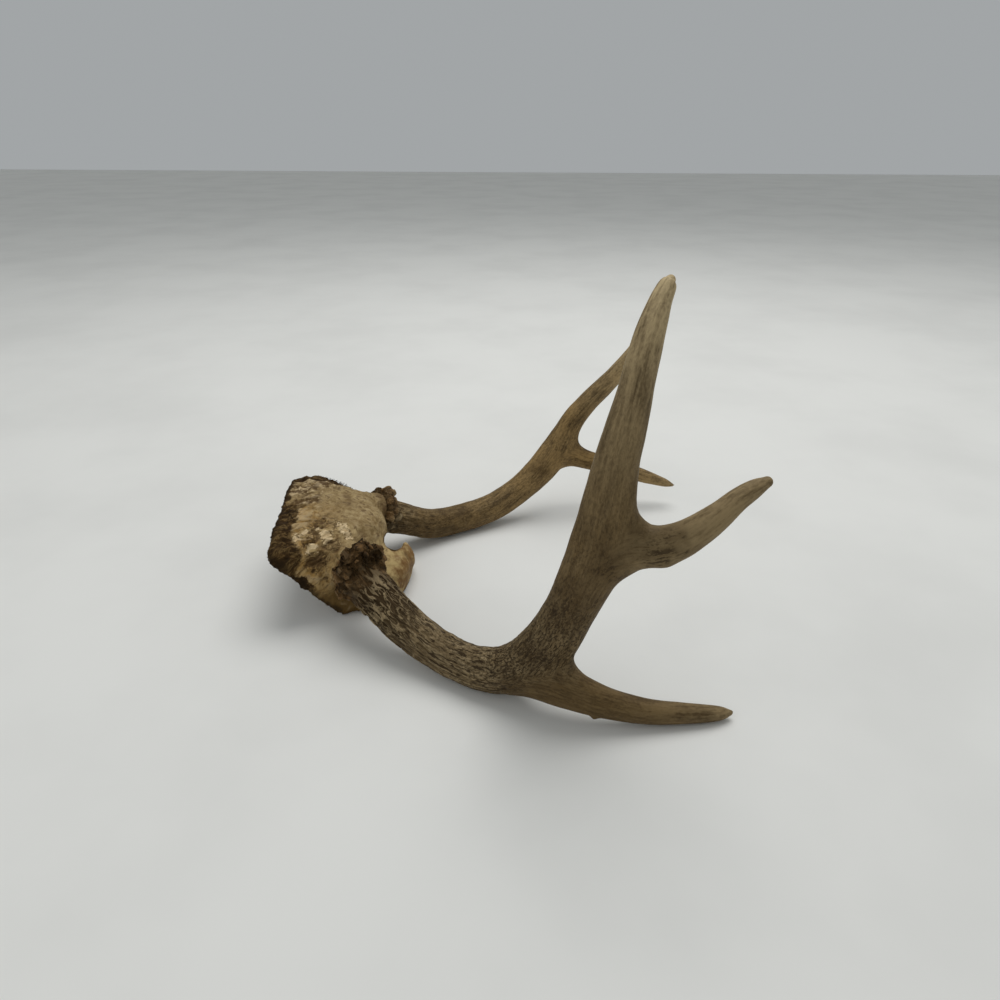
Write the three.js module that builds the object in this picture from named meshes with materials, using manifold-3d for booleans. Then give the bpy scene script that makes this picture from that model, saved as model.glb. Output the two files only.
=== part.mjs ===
// A small whitetail rack: two antlers that still grow from the sawn-off top of the skull.
// It lies on a level floor at z = 0, on the undersides of both main beams, the lower corner
// of the skull cap and the belly of the left antler's first tine.
// Millimetres, +Z up.  +X runs from the forehead's sawn edge towards the tine tips, and +Y
// runs from the left antler to the right one.  The origin is under the middle of the whole
// rack, so the skull's own middle plane is a little to one side of it.
import * as THREE from 'three';
import { mergeVertices } from 'three/addons/utils/BufferGeometryUtils.js';
import Module from 'manifold-3d';

const wasm = await Module();
wasm.setup();

// ---------------------------------------------------------------- driving dimensions
const SPLIT_GAP = 0.3;              // left between two pieces at a fork or a burr
const SKULL_MIDDLE = -3.5;          // y of the skull's middle plane
const BEAM_SIDES = 12;
const RING_SPACING = 4.4;           // between the rings of facets along a branch
const COLLAR_SIDES = 20;
const VAULT_SIDES = 28;
const BRAINCASE_FACETS = { around: 24, down: 16 };
const CUTTER_SIZE = 800;            // of the blocks that make plane cuts: past the whole rack
const WELD = 1e-4;                  // corners closer than this are one corner

// Each row is one place along a branch: x, y, z, half its width across the fork's plane,
// and half its thickness as a share of that width.
const LEFT_BEAM = [
  [-77, -37, 35, 12.6, 1.0],
  [-62.5, -51.5, 29.6, 12, 1.0],
  [-52, -60.5, 25.6, 11.3, 1.0],
  [-41.5, -68.5, 20.6, 11, 0.98],
  [-30, -75.5, 15.8, 10.8, 0.96],
  [-18, -82.5, 12.8, 10.9, 0.94],
  [-7, -88, 11.6, 11.1, 0.92],
  [4, -93, 12, 11.8, 0.88],
  [16.5, -97.5, 15.4, 12.7, 0.82],
  [29, -102.5, 26, 13.6, 0.76],
  [39.5, -107.5, 43.5, 12.9, 0.74],
  [47, -111.5, 62.5, 12, 0.74],
  [53.5, -115.5, 83, 12.3, 0.72],
  [58.4, -117.5, 102.5, 12.7, 0.72],
  [61.7, -118.5, 122, 10.4, 0.78],
  [63.9, -117.5, 140, 8.3, 0.86],
  [66.4, -115.5, 154, 7.5, 0.9],
  [68.7, -111.5, 167, 7, 0.92],
  [71, -106.5, 180, 6.5, 0.94],
  [73.6, -101.5, 190.5, 5.8, 0.96],
  [76.6, -95.5, 199.5, 4.6, 1.0],
  [79.6, -91.5, 205.6, 3.2, 1.0],
  [81.6, -89, 209, 0.9, 1.0],
];
const LEFT_FIRST_TINE = [
  [22, -100.5, 16.4, 11.4, 0.76],
  [35, -106.5, 19, 11.6, 0.76],
  [46, -110, 18, 11.2, 0.76],
  [55, -112, 15.6, 9.6, 0.8],
  [65, -113.5, 13, 8.2, 0.84],
  [76, -113.5, 10.3, 7.2, 0.88],
  [89, -112.5, 7.6, 6.3, 0.92],
  [103, -110.5, 6, 5.3, 0.96],
  [115, -108.5, 4.9, 4.3, 1.0],
  [124, -106.5, 4, 3.2, 1.0],
  [129.5, -105, 3.6, 1, 1.0],
];
const LEFT_SECOND_TINE = [
  [55, -116.5, 90, 10, 0.72],
  [62, -118, 99, 11, 0.72],
  [71, -119, 103.6, 10.4, 0.76],
  [81, -121, 105, 8.9, 0.84],
  [89.5, -122.5, 108.6, 8.2, 0.86],
  [97.5, -122.5, 114.2, 7, 0.9],
  [105, -121.5, 120.6, 5.8, 0.94],
  [112.3, -118.5, 126.8, 4.7, 1.0],
  [119, -115.5, 130.6, 3.6, 1.0],
  [125.5, -112.5, 133.2, 0.9, 1.0],
];
const RIGHT_BEAM = [
  [-85.5, 26.5, 35.5, 11, 1.0],
  [-71.5, 41, 25, 11, 1.0],
  [-60, 48.5, 18.6, 10.3, 1.0],
  [-51.5, 54, 13.9, 10.1, 0.98],
  [-42.5, 60.5, 11, 10.1, 0.96],
  [-30, 69, 10.2, 10, 0.95],
  [-16.5, 77.5, 11.2, 10, 0.92],
  [-3, 86.5, 14.5, 9.9, 0.9],
  [10.5, 95.5, 21.5, 9.8, 0.86],
  [25, 104.5, 33, 10.6, 0.8],
  [36, 112.5, 46.4, 10.6, 0.78],
  [42.4, 116.5, 57.6, 9.2, 0.8],
  [49, 119.5, 69.8, 8, 0.86],
  [59, 121.5, 82.4, 7.3, 0.9],
  [69.7, 121.5, 94.7, 6.8, 0.92],
  [78, 120.5, 106, 6.4, 0.94],
  [85.4, 118.5, 117, 5.6, 0.96],
  [91.4, 116.5, 126.8, 4.6, 1.0],
  [96.4, 114.5, 136, 3.2, 1.0],
  [100, 113, 143.5, 0.9, 1.0],
];
const RIGHT_FIRST_TINE = [
  [22, 102.5, 33, 6.5, 0.8],
  [35, 110.5, 42.4, 9.2, 0.8],
  [48, 116.5, 41.4, 8.2, 0.84],
  [61, 119.5, 36.9, 7, 0.88],
  [78, 122.5, 31.5, 6.3, 0.92],
  [98, 124.5, 24.8, 5.3, 0.96],
  [110.5, 125.5, 20.7, 4.2, 1.0],
  [120, 125.5, 17.8, 3, 1.0],
  [126, 125.5, 16, 0.9, 1.0],
];

// The burrs are the knobbly collars at the antlers' feet.  Each has a flat back.
const BURRS = {
  left: { centre: [-73.5, -41.5, 34.5], axis: [0.66, -0.7, -0.25], radius: 19, thickness: 9 },
  right: { centre: [-80, 32.5, 33], axis: [0.6, 0.62, -0.5], radius: 16.5, thickness: 7 },
};
// A burr's outline, from its back: how far in from the full radius, and how far through.
const BURR_OUTLINE = [[3, 0], [0, 0.3], [0.6, 0.55], [4, 1]];
const BURR_CROWN = 2;               // how far its middle stands past its thickness

// Where each antler is split: a point on the cut and the direction that the outer piece
// leaves it in.
const FORK_CUTS = {
  leftBeamAboveFirstFork: { point: [45, -111.5, 56], away: [0.34, -0.16, 0.93] },
  leftFirstTine: { point: [51, -110.5, 22], away: [0.82, -0.12, -0.56] },
  leftBeamAboveSecondFork: { point: [62, -118.5, 121], away: [0.17, 0, 0.98] },
  leftSecondTine: { point: [75.5, -119.5, 104], away: [0.96, -0.12, -0.12] },
  rightBeamAboveFork: { point: [43, 117.5, 59], away: [0.48, 0.24, 0.84] },
  rightFirstTine: { point: [47, 115.5, 42], away: [0.82, 0.15, -0.55] },
};

// The skull cap: the forehead and temples make a vault, open below.  Each row is one arch
// of it, from the forehead back to the ridge between the pedicles: x, half width, height
// of its top, how square its shoulders are, and how much higher the right one is.
const VAULT = [
  [-148, 47, 50, 5.5, 6],
  [-133, 49.5, 51.5, 5.5, 6],
  [-118, 52, 53, 5.2, 6],
  [-107, 48.5, 53.5, 4.6, 5],
  [-97, 43.5, 53, 4.0, 4],
  [-88, 39, 52, 3.6, 3],
  [-79, 33, 51, 3.0, 1],
  [-71, 24, 49, 2.6, 0],
  [-66, 16, 46, 2.4, 0],
];
const VAULT_DEPTH = 62;             // from an arch's top to the lowest point it reaches
const VAULT_WALL = 5.5;
const VAULT_CLOSES_FROM = -107;     // past this x the arches close in on the back wall
const BRAINCASE_CENTRE = [-73, -2.5, 7];
const BRAINCASE_HALF_SIZE = [25, 31, 21];
const BRAINCASE_SQUARENESS = 2.3;
const BRAINCASE_WALL = 3.5;
// The pedicles are the two stumps of bone that the burrs sit on.
const PEDICLE = { radius: 12.5, rootRadius: 9, length: 14 };
const FLOOR_CLEARANCE = 0.2;
const SAW = { point: [-84.5, -36.9, 0], away: [-0.79, -0.1, -0.6] };
const NOTCH = {
  centre: [-61.4, 6.5, 27.5],
  axis: [-0.216, 0.838, -0.5],
  radii: [7.5, 6.5],
  length: 70,
};

const bone = new THREE.MeshStandardMaterial({ color: 0xa08c66, roughness: 0.75, metalness: 0 });
const lowerBeam = new THREE.MeshStandardMaterial({ color: 0x6f5f47, roughness: 0.7, metalness: 0 });
const upperBeam = new THREE.MeshStandardMaterial({ color: 0x7f6f57, roughness: 0.6, metalness: 0 });
const tine = new THREE.MeshStandardMaterial({ color: 0x8e8068, roughness: 0.55, metalness: 0 });

// ---------------------------------------------------------------- joining and cutting
function solidFrom(geometry) {
  const bare = geometry.index ? geometry.toNonIndexed() : geometry.clone();
  bare.deleteAttribute('normal');
  bare.deleteAttribute('uv');
  const merged = mergeVertices(bare, WELD);
  const mesh = new wasm.Mesh({
    numProp: 3,
    vertProperties: Float32Array.from(merged.attributes.position.array),
    triVerts: Uint32Array.from(merged.index.array),
  });
  return new wasm.Manifold(mesh);
}

function meshFrom(solid, name, material) {
  const { vertProperties, triVerts } = solid.getMesh();
  const geometry = new THREE.BufferGeometry();
  geometry.setAttribute('position', new THREE.BufferAttribute(vertProperties, 3));
  geometry.setIndex(new THREE.BufferAttribute(triVerts, 1));
  geometry.computeVertexNormals();
  const mesh = new THREE.Mesh(geometry, material);
  mesh.name = name;
  return mesh;
}

// A block that fills everything on the far side of a plane, starting `offset` past it.
function beyond({ point, away }, offset = 0) {
  const block = new THREE.BoxGeometry(CUTTER_SIZE, CUTTER_SIZE, CUTTER_SIZE);
  const direction = new THREE.Vector3(...away).normalize();
  const turn = new THREE.Quaternion().setFromUnitVectors(new THREE.Vector3(0, 0, 1), direction);
  block.translate(0, 0, CUTTER_SIZE / 2 + offset);
  block.applyQuaternion(turn);
  block.translate(...point);
  return solidFrom(block);
}

// ---------------------------------------------------------------- tapering branches
// A turned rod of unit radius and length, bent along a smooth curve through the rows.
// Its section is an oval that is thin across the antler's own side-to-side direction.
function branch(rows) {
  const curve = new THREE.CatmullRomCurve3(rows.map(([x, y, z]) => new THREE.Vector3(x, y, z)));
  curve.arcLengthDivisions = 600;
  const steps = Math.round(curve.getLength() / RING_SPACING);
  const profile = [new THREE.Vector2(0, 0)];
  for (let i = 0; i <= steps; i += 1) {
    profile.push(new THREE.Vector2(1, i / steps));
  }
  profile.push(new THREE.Vector2(0, 1));
  const rod = new THREE.LatheGeometry(profile, BEAM_SIDES);
  const lastRow = rows.length - 1;
  const position = rod.attributes.position;
  const sideways = new THREE.Vector3(0, 1, 0);
  for (let i = 0; i < position.count; i += 1) {
    const along = THREE.MathUtils.clamp(position.getY(i), 0, 1);
    const t = curve.getUtoTmapping(along);
    const row = Math.min(Math.floor(t * lastRow), lastRow - 1);
    const share = t * lastRow - row;
    const halfWidth = THREE.MathUtils.lerp(rows[row][3], rows[row + 1][3], share);
    const flatness = THREE.MathUtils.lerp(rows[row][4], rows[row + 1][4], share);
    const centre = curve.getPoint(t);
    const forwards = curve.getTangent(t);
    const thin = sideways.clone().addScaledVector(forwards, -sideways.dot(forwards)).normalize();
    const wide = new THREE.Vector3().crossVectors(forwards, thin);
    centre.addScaledVector(wide, position.getX(i) * halfWidth);
    centre.addScaledVector(thin, position.getZ(i) * halfWidth * flatness);
    position.setXYZ(i, centre.x, centre.y, centre.z);
  }
  return solidFrom(rod);
}

// Turns a shape that was made round +Y onto a burr's axis, with its foot at the flat back.
function onBurr(geometry, { centre, axis }) {
  const outwards = new THREE.Vector3(...axis).normalize();
  const turn = new THREE.Quaternion().setFromUnitVectors(new THREE.Vector3(0, 1, 0), outwards);
  geometry.applyQuaternion(turn);
  geometry.translate(...centre);
  return solidFrom(geometry);
}

function collar(burr) {
  const { radius, thickness } = burr;
  const profile = [
    new THREE.Vector2(0, 0),
    ...BURR_OUTLINE.map(([inset, through]) => (
      new THREE.Vector2(radius - inset, through * thickness))),
    new THREE.Vector2(0, thickness + BURR_CROWN),
  ];
  return onBurr(new THREE.LatheGeometry(profile, COLLAR_SIDES), burr);
}

function pedicle(burr) {
  const profile = [
    new THREE.Vector2(0, -PEDICLE.length),
    new THREE.Vector2(PEDICLE.rootRadius, -PEDICLE.length),
    new THREE.Vector2(PEDICLE.radius, -SPLIT_GAP),
    new THREE.Vector2(0, -SPLIT_GAP),
  ];
  return onBurr(new THREE.LatheGeometry(profile, COLLAR_SIDES), burr);
}

// The room that a burr takes up against the skull.
function burrSeat(burr) {
  const width = burr.radius + SPLIT_GAP;
  const profile = [
    new THREE.Vector2(0, -SPLIT_GAP),
    new THREE.Vector2(width, -SPLIT_GAP),
    new THREE.Vector2(width, burr.radius),
    new THREE.Vector2(0, burr.radius),
  ];
  return onBurr(new THREE.LatheGeometry(profile, COLLAR_SIDES), burr);
}

// The antler starts at the burr's back, so what its branches have behind that is cut off.
function fromBurrOn(branches, burr) {
  return branches.intersect(beyond({ point: burr.centre, away: burr.axis })).add(collar(burr));
}

// ---------------------------------------------------------------- skull cap
// A point on the unit circle pushed out towards the unit square.
function squaredCircle(angle, squareness) {
  const across = Math.cos(angle);
  const up = Math.sin(angle);
  const reach = (Math.abs(across) ** squareness + Math.abs(up) ** squareness) ** (1 / squareness);
  return { across: across / reach, up: up / reach };
}

// The vault is a turned rod laid along +X, whose rings take the shapes of the arches.
function vault(shrink) {
  const last = VAULT.length - 1;
  const profile = [new THREE.Vector2(0, 0)];
  for (let i = 0; i <= last; i += 1) {
    profile.push(new THREE.Vector2(1, i));
  }
  profile.push(new THREE.Vector2(0, last));
  const rod = new THREE.LatheGeometry(profile, VAULT_SIDES);
  const position = rod.attributes.position;
  for (let i = 0; i < position.count; i += 1) {
    const [x, halfWidth, top, squareness, lean] = VAULT[Math.round(position.getY(i))];
    const onAxis = Math.hypot(position.getX(i), position.getZ(i)) < 0.5;
    const angle = Math.atan2(position.getZ(i), position.getX(i));
    const { across, up } = onAxis ? { across: 0, up: 0 } : squaredCircle(angle, squareness);
    const closing = (x - VAULT_CLOSES_FROM) / (VAULT[last][0] - VAULT_CLOSES_FROM);
    position.setXYZ(
      i,
      x - shrink * Math.max(0, closing),
      SKULL_MIDDLE - across * (halfWidth - shrink),
      top - VAULT_DEPTH / 2 + up * (VAULT_DEPTH / 2 - shrink) - across * lean / 2,
    );
  }
  return solidFrom(rod);
}

function braincase(shrink) {
  const ball = new THREE.SphereGeometry(1, BRAINCASE_FACETS.around, BRAINCASE_FACETS.down);
  const position = ball.attributes.position;
  const half = BRAINCASE_HALF_SIZE.map((size) => size - shrink);
  for (let i = 0; i < position.count; i += 1) {
    const point = new THREE.Vector3().fromBufferAttribute(position, i);
    const reach = (Math.abs(point.x) ** BRAINCASE_SQUARENESS
      + Math.abs(point.y) ** BRAINCASE_SQUARENESS
      + Math.abs(point.z) ** BRAINCASE_SQUARENESS) ** (1 / BRAINCASE_SQUARENESS);
    point.divideScalar(reach);
    position.setXYZ(
      i,
      BRAINCASE_CENTRE[0] + point.x * half[0],
      BRAINCASE_CENTRE[1] + point.y * half[1],
      BRAINCASE_CENTRE[2] + point.z * half[2],
    );
  }
  return solidFrom(ball);
}

// The broken gap in the back wall, between the right pedicle and the lobe that stands up
// behind it.
function notch() {
  const bit = new THREE.CylinderGeometry(...NOTCH.radii, NOTCH.length, 16);
  const along = new THREE.Vector3(...NOTCH.axis).normalize();
  bit.applyQuaternion(
    new THREE.Quaternion().setFromUnitVectors(new THREE.Vector3(0, 1, 0), along),
  );
  bit.translate(...NOTCH.centre);
  return solidFrom(bit);
}

function skullCap() {
  return vault(0)
    .add(braincase(0))
    .add(pedicle(BURRS.left))
    .add(pedicle(BURRS.right))
    .subtract(vault(VAULT_WALL))
    .subtract(braincase(BRAINCASE_WALL))
    .subtract(notch())
    .subtract(burrSeat(BURRS.left))
    .subtract(burrSeat(BURRS.right))
    .subtract(beyond({ point: [0, 0, FLOOR_CLEARANCE], away: [0, 0, -1] }))
    .subtract(beyond(SAW));
}

// ---------------------------------------------------------------- the rack
const leftAntler = fromBurrOn(
  branch(LEFT_BEAM).add(branch(LEFT_FIRST_TINE)).add(branch(LEFT_SECOND_TINE)),
  BURRS.left,
);
const rightAntler = fromBurrOn(branch(RIGHT_BEAM).add(branch(RIGHT_FIRST_TINE)), BURRS.right);

function outer(antler, cut) {
  return antler.intersect(beyond(FORK_CUTS[cut], SPLIT_GAP));
}

function inner(antler, cut) {
  return antler.subtract(beyond(FORK_CUTS[cut]));
}

const leftFirstTine = outer(leftAntler, 'leftFirstTine');
const leftPastFirstTine = inner(leftAntler, 'leftFirstTine');
const leftSecondTine = outer(leftPastFirstTine, 'leftSecondTine');
const leftBeam = inner(leftPastFirstTine, 'leftSecondTine');
const leftUpperBeam = outer(leftBeam, 'leftBeamAboveFirstFork');
const rightFirstTine = outer(rightAntler, 'rightFirstTine');
const rightBeam = inner(rightAntler, 'rightFirstTine');

const rack = new THREE.Group();
rack.add(
  meshFrom(skullCap(), 'skull_cap', bone),
  meshFrom(inner(leftBeam, 'leftBeamAboveFirstFork'), 'left_beam_base', lowerBeam),
  meshFrom(leftFirstTine, 'left_first_tine', tine),
  meshFrom(inner(leftUpperBeam, 'leftBeamAboveSecondFork'), 'left_beam_middle', upperBeam),
  meshFrom(leftSecondTine, 'left_second_tine', tine),
  meshFrom(outer(leftUpperBeam, 'leftBeamAboveSecondFork'), 'left_beam_tip', upperBeam),
  meshFrom(inner(rightBeam, 'rightBeamAboveFork'), 'right_beam_base', lowerBeam),
  meshFrom(rightFirstTine, 'right_first_tine', tine),
  meshFrom(outer(rightBeam, 'rightBeamAboveFork'), 'right_beam_tip', upperBeam),
);

export default rack;
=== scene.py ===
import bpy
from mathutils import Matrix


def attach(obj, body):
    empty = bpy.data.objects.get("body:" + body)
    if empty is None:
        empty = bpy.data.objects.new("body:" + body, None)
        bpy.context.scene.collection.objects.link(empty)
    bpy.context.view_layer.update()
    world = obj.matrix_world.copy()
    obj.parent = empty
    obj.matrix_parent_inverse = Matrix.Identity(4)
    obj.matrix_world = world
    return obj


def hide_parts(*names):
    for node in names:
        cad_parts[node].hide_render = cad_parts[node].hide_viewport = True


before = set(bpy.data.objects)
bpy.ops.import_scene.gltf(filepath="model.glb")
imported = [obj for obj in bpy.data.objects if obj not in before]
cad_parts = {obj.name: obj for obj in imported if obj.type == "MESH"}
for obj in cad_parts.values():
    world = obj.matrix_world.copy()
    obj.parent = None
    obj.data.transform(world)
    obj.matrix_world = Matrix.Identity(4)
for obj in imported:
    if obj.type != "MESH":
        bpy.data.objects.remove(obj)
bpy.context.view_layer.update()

import math

import bmesh
import bpy
import numpy as np
from bpy.props import (
    FloatProperty,
    FloatVectorProperty,
    IntProperty,
    PointerProperty,
)
from mathutils import Vector

bl_info = {
    "name": "Deer Antlers on a Skull Cap",
    "version": (1, 0, 0),
    "blender": (4, 5, 0),
    "location": "View3D > Sidebar > Antlers",
    "description": "Builds a pair of antlers that still grow from the sawn skull cap",
    "category": "Add Mesh",
}

# Shapes are worked out in millimetres, as the frame's tables are, and made metres last.
MM = 0.001
BODY = "root"
SIDEWAYS = np.array([0.0, 1.0, 0.0])
LOWEST = 0.05

# ---------------------------------------------------------------- the frame's dimensions
# Each row is one place along a branch: x, y, z, half its width across the fork's plane,
# and half its thickness as a share of that width.
LEFT_BEAM = [
    (-77, -37, 35, 12.6, 1.0),
    (-62.5, -51.5, 29.6, 12, 1.0),
    (-52, -60.5, 25.6, 11.3, 1.0),
    (-41.5, -68.5, 20.6, 11, 0.98),
    (-30, -75.5, 15.8, 10.8, 0.96),
    (-18, -82.5, 12.8, 10.9, 0.94),
    (-7, -88, 11.6, 11.1, 0.92),
    (4, -93, 12, 11.8, 0.88),
    (16.5, -97.5, 15.4, 12.7, 0.82),
    (29, -102.5, 26, 13.6, 0.76),
    (39.5, -107.5, 43.5, 12.9, 0.74),
    (47, -111.5, 62.5, 12, 0.74),
    (53.5, -115.5, 83, 12.3, 0.72),
    (58.4, -117.5, 102.5, 12.7, 0.72),
    (60.9, -118.5, 122, 11.3, 0.74),
    (63, -117.5, 140, 9.3, 0.8),
    (65.7, -115.5, 154, 8.3, 0.84),
    (68.4, -111.5, 167, 7.4, 0.9),
    (71, -106.5, 180, 6.5, 0.94),
    (73.6, -101.5, 190.5, 5.8, 0.96),
    (76.6, -95.5, 199.5, 4.6, 1.0),
    (79.6, -91.5, 205.6, 3.8, 1.0),
    (80.7, -90.1, 207.4, 2.3, 1.0),
]
LEFT_FIRST_TINE = [
    (22, -100.5, 16.4, 11.4, 0.76),
    (35, -106.5, 19, 11.6, 0.76),
    (46, -110, 18, 11.2, 0.76),
    (55, -112, 15.6, 9.6, 0.8),
    (65, -113.5, 13, 8.2, 0.84),
    (76, -113.5, 10.3, 7.2, 0.88),
    (89, -112.5, 7.6, 6.3, 0.92),
    (103, -110.5, 6, 5.3, 0.96),
    (115, -108.5, 4.9, 4.3, 1.0),
    (124, -106.5, 4, 3.2, 1.0),
    (129.5, -105, 3.6, 1, 1.0),
]
LEFT_SECOND_TINE = [
    (51.5, -115.8, 78, 9.4, 0.72),
    (56, -117, 88.4, 11.2, 0.7),
    (62.4, -118, 97, 12.3, 0.67),
    (71, -119, 102.7, 11.4, 0.71),
    (81, -121, 105, 8.9, 0.84),
    (89.5, -122.5, 108.6, 8.2, 0.86),
    (97.5, -122.5, 114.2, 7, 0.9),
    (105, -121.5, 120.6, 5.8, 0.94),
    (112.3, -118.5, 126.8, 4.7, 1.0),
    (119, -115.5, 130.6, 3.8, 1.0),
    (124.2, -113.1, 132.7, 2.4, 1.0),
]
RIGHT_BEAM = [
    (-85.5, 26.5, 35.5, 11, 1.0),
    (-71.5, 41, 25, 11, 1.0),
    (-60, 48.5, 18.6, 10.3, 1.0),
    (-51.5, 54, 13.9, 10.1, 0.98),
    (-42.5, 60.5, 11, 10.1, 0.96),
    (-30, 69, 10.2, 10, 0.95),
    (-16.5, 77.5, 11.2, 10, 0.92),
    (-3, 86.5, 14.5, 9.9, 0.9),
    (10.5, 95.5, 21.5, 9.8, 0.86),
    (25, 104.5, 33, 10.6, 0.8),
    (36, 112.5, 46.4, 10.6, 0.78),
    (42.4, 116.5, 57.6, 9.2, 0.8),
    (49, 119.5, 69.8, 8, 0.86),
    (59, 121.5, 82.4, 7.3, 0.9),
    (69.7, 121.5, 94.5, 6.7, 0.92),
    (78.4, 120.5, 105.4, 6, 0.94),
    (85.8, 118.5, 116.6, 5.2, 0.96),
    (91.4, 116.5, 126.8, 4.6, 1.0),
    (96.4, 114.5, 136, 3.2, 1.0),
    (100, 113, 143.5, 0.9, 1.0),
]
RIGHT_FIRST_TINE = [
    (22, 102.5, 33, 6.5, 0.8),
    (35, 110.5, 42.4, 9.2, 0.8),
    (48, 116.5, 41.4, 8.2, 0.84),
    (61, 119.5, 36.9, 7, 0.88),
    (78, 122.5, 31.5, 6.3, 0.92),
    (98, 124.5, 24.8, 5.3, 0.96),
    (110.5, 125.5, 20.7, 4.2, 1.0),
    (120, 125.5, 17.8, 3, 1.0),
    (126, 125.5, 16, 0.9, 1.0),
]

# The knobbly collars at the antlers' feet.
# Each row of lumps is: how far along, how far in from the rim, how many, their radius, and how
# long they are for their width.  Each row of pearls is a ring: how far along, how far in from
# the rim, and how many.
LEFT_BURR = {
    "centre": (-73.5, -41.5, 34.5), "axis": (0.66, -0.7, -0.25), "radius": 19, "thickness": 9,
    "crust": (11, 33), "pale_below": (-2, -1),
    "narrow": 0.79, "raise": 3.6, "crust_share": 0.9,
    "lumps": [
        (2.2, -1.8, 19, 2.9, 1.0), (5.8, -1.0, 17, 3.0, 1.0), (9.2, 1.4, 16, 2.8, 1.2),
        (12.5, 4.0, 15, 2.3, 1.5), (16.5, 5.4, 11, 2.0, 2.0), (23, 6.4, 8, 1.5, 3.4),
    ],
    "pearls": [(1.8, 1.8, 22), (5.0, 1.6, 22), (9.0, 4.4, 16)],
}
RIGHT_BURR = {
    "centre": (-80, 32.5, 33), "axis": (0.6, 0.62, -0.5), "radius": 16.5, "thickness": 7,
    "crust": (3, 12), "pale_below": (25, 37),
    "narrow": 0.95, "raise": 0.5, "crust_share": 0.75,
    "lumps": [(2.2, -0.6, 15, 2.9, 1.0), (5.4, 0.0, 14, 2.9, 1.0), (8.6, 3.2, 11, 2.3, 1.6)],
    "pearls": [(1.8, 2.3, 18), (4.2, 2.2, 18)],
}

# The skull cap.  Each row is one arch of its vault: x, half width, height of its top, how
# square its shoulders are, and how much higher the right one is.
SKULL_MIDDLE = -3.5
VAULT = [
    (-148, 47, 50, 5.5, 6),
    (-133, 49.5, 51.5, 5.5, 6),
    (-118, 52, 53, 5.2, 6),
    (-107, 48.5, 53.5, 4.6, 5),
    (-97, 43.5, 53, 4.0, 4),
    (-88, 39, 52, 3.6, 3),
    (-79, 33, 51, 3.0, 1),
    (-71, 24, 49, 2.6, 0),
    (-66, 16, 46, 2.4, 0),
]
VAULT_DEPTH = 62
VAULT_WALL = 5.5
BRAINCASE_CENTRE = (-73, -2.5, 7)
BRAINCASE_HALF_SIZE = (25, 31, 21)
BRAINCASE_SQUARENESS = 2.3
BRAINCASE_WALL = 3.5
PEDICLE_RADIUS = 12.5
PEDICLE_ROOT_RADIUS = 9
PEDICLE_LENGTH = 14
FLOOR_CLEARANCE = 0.2
SAW_POINT = (-84.5, -36.9, 0)
SAW_AWAY = (-0.79, -0.1, -0.6)
NOTCH_CENTRE = (-61.4, 6.5, 27.5)
NOTCH_AXIS = (-0.216, 0.838, -0.5)
NOTCH_RADIUS = 7
# The thin bone behind the left antler ends at this slanted edge.
LOBE_EDGE_POINT = (-50.5, -5.5, 11.5)
LOBE_EDGE_AWAY = (0.918, -0.112, -0.379)

# ---------------------------------------------------------------- marks on the surface
# Each mark is a place and a radius.  Bumps and pits have a height or a depth as well.
LEFT_STAINS = [
    ((82, -126, 106), 12), ((89, -128, 107), 8), ((64, -124, 98), 8), ((46, -122, 74), 8),
    ((44, -120, 64), 9), ((47, -123, 83), 6), ((34, -114, 38), 12), ((22, -109, 20), 8),
]
RIGHT_STAINS = [((26, 98, 38), 5), ((-37, 55, 17), 9), ((-28, 64, 18), 7), ((-47, 46, 17), 8)]
LEFT_BUMPS = [
    ((62, -116.2, 6.2), 1.9, 1.4), ((-24, -78, 25), 3, 1.4), ((-19, -80, 24), 2.2, 1.1),
    ((-13, -81.5, 22.5), 2.6, 1.2), ((86, -124, 99), 4.5, 1.3), ((-35, -70, 27), 2.5, 1.0),
]
LEFT_PITS = [((17.8, -107.7, 12.7), 1.8, 0.8), ((55.8, -121.3, 137.2), 0.9, 0.4)]
RIGHT_BUMPS = [((44, 118, 32), 3, 0.6), ((-14, 78, 21), 3, 0.5)]
RIGHT_PITS = [((58, 122, 85), 1.2, 0.4)]

CREAM_MARKS = [
    ((-85.6, -21.6, 50.3), 3.2), ((-83, -25, 48.5), 3.4), ((-80, -27, 46.5), 3),
    ((-88.5, -19, 51), 2), ((-94, -29, 50.3), 3), ((-92, -33, 48.2), 2.6),
    ((-97, -26, 51), 2.2), ((-96.3, -38.6, 46.2), 3), ((-98, -41.2, 45), 3),
    ((-93, -36, 47), 2), ((-106, -35.4, 50.4), 3.2), ((-105, -30, 51.4), 2.6),
]
MOTTLED_MARKS = [((-118, 22, 54), 13), ((-114, 6, 54), 9), ((-122, 33, 52), 9), ((-106, 30, 53), 8)]
EDGE_BULGES = [((-117, -47, 46), 12)]
CREVICE_MARKS = [
    ((-99, -22, 52), 6), ((-93.7, -17, 52), 4), ((-99.8, -31.4, 50.4), 5), ((-93, -42, 40.5), 6),
    ((-94.4, -43.7, 38), 5), ((-89.6, -20.5, 51), 3.5), ((-88, -34, 46), 5), ((-100, -38, 47), 4),
]


# ---------------------------------------------------------------- noise
CELL_PRIMES = (73856093, 19349663, 83492791)
SEED_FACTOR, SEED_START = 265443, 97
MIXING_PRIME = 1274126177
LAYER_SEED_STEP = 17


def smooth_step(low, high, value):
    share = np.clip((value - low) / (high - low), 0, 1)
    return share * share * (3 - 2 * share)


def cell_number(cells, seed):
    """A repeatable number from 0 to 1 for each whole-numbered cell of space."""
    mixed = seed * SEED_FACTOR + SEED_START
    for axis, prime in enumerate(CELL_PRIMES):
        mixed = mixed ^ cells[..., axis] * prime
    mixed = (mixed ^ (mixed >> 13)) * MIXING_PRIME
    return ((mixed ^ (mixed >> 16)) & 0xFFFFFF) / 0xFFFFFF


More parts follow.
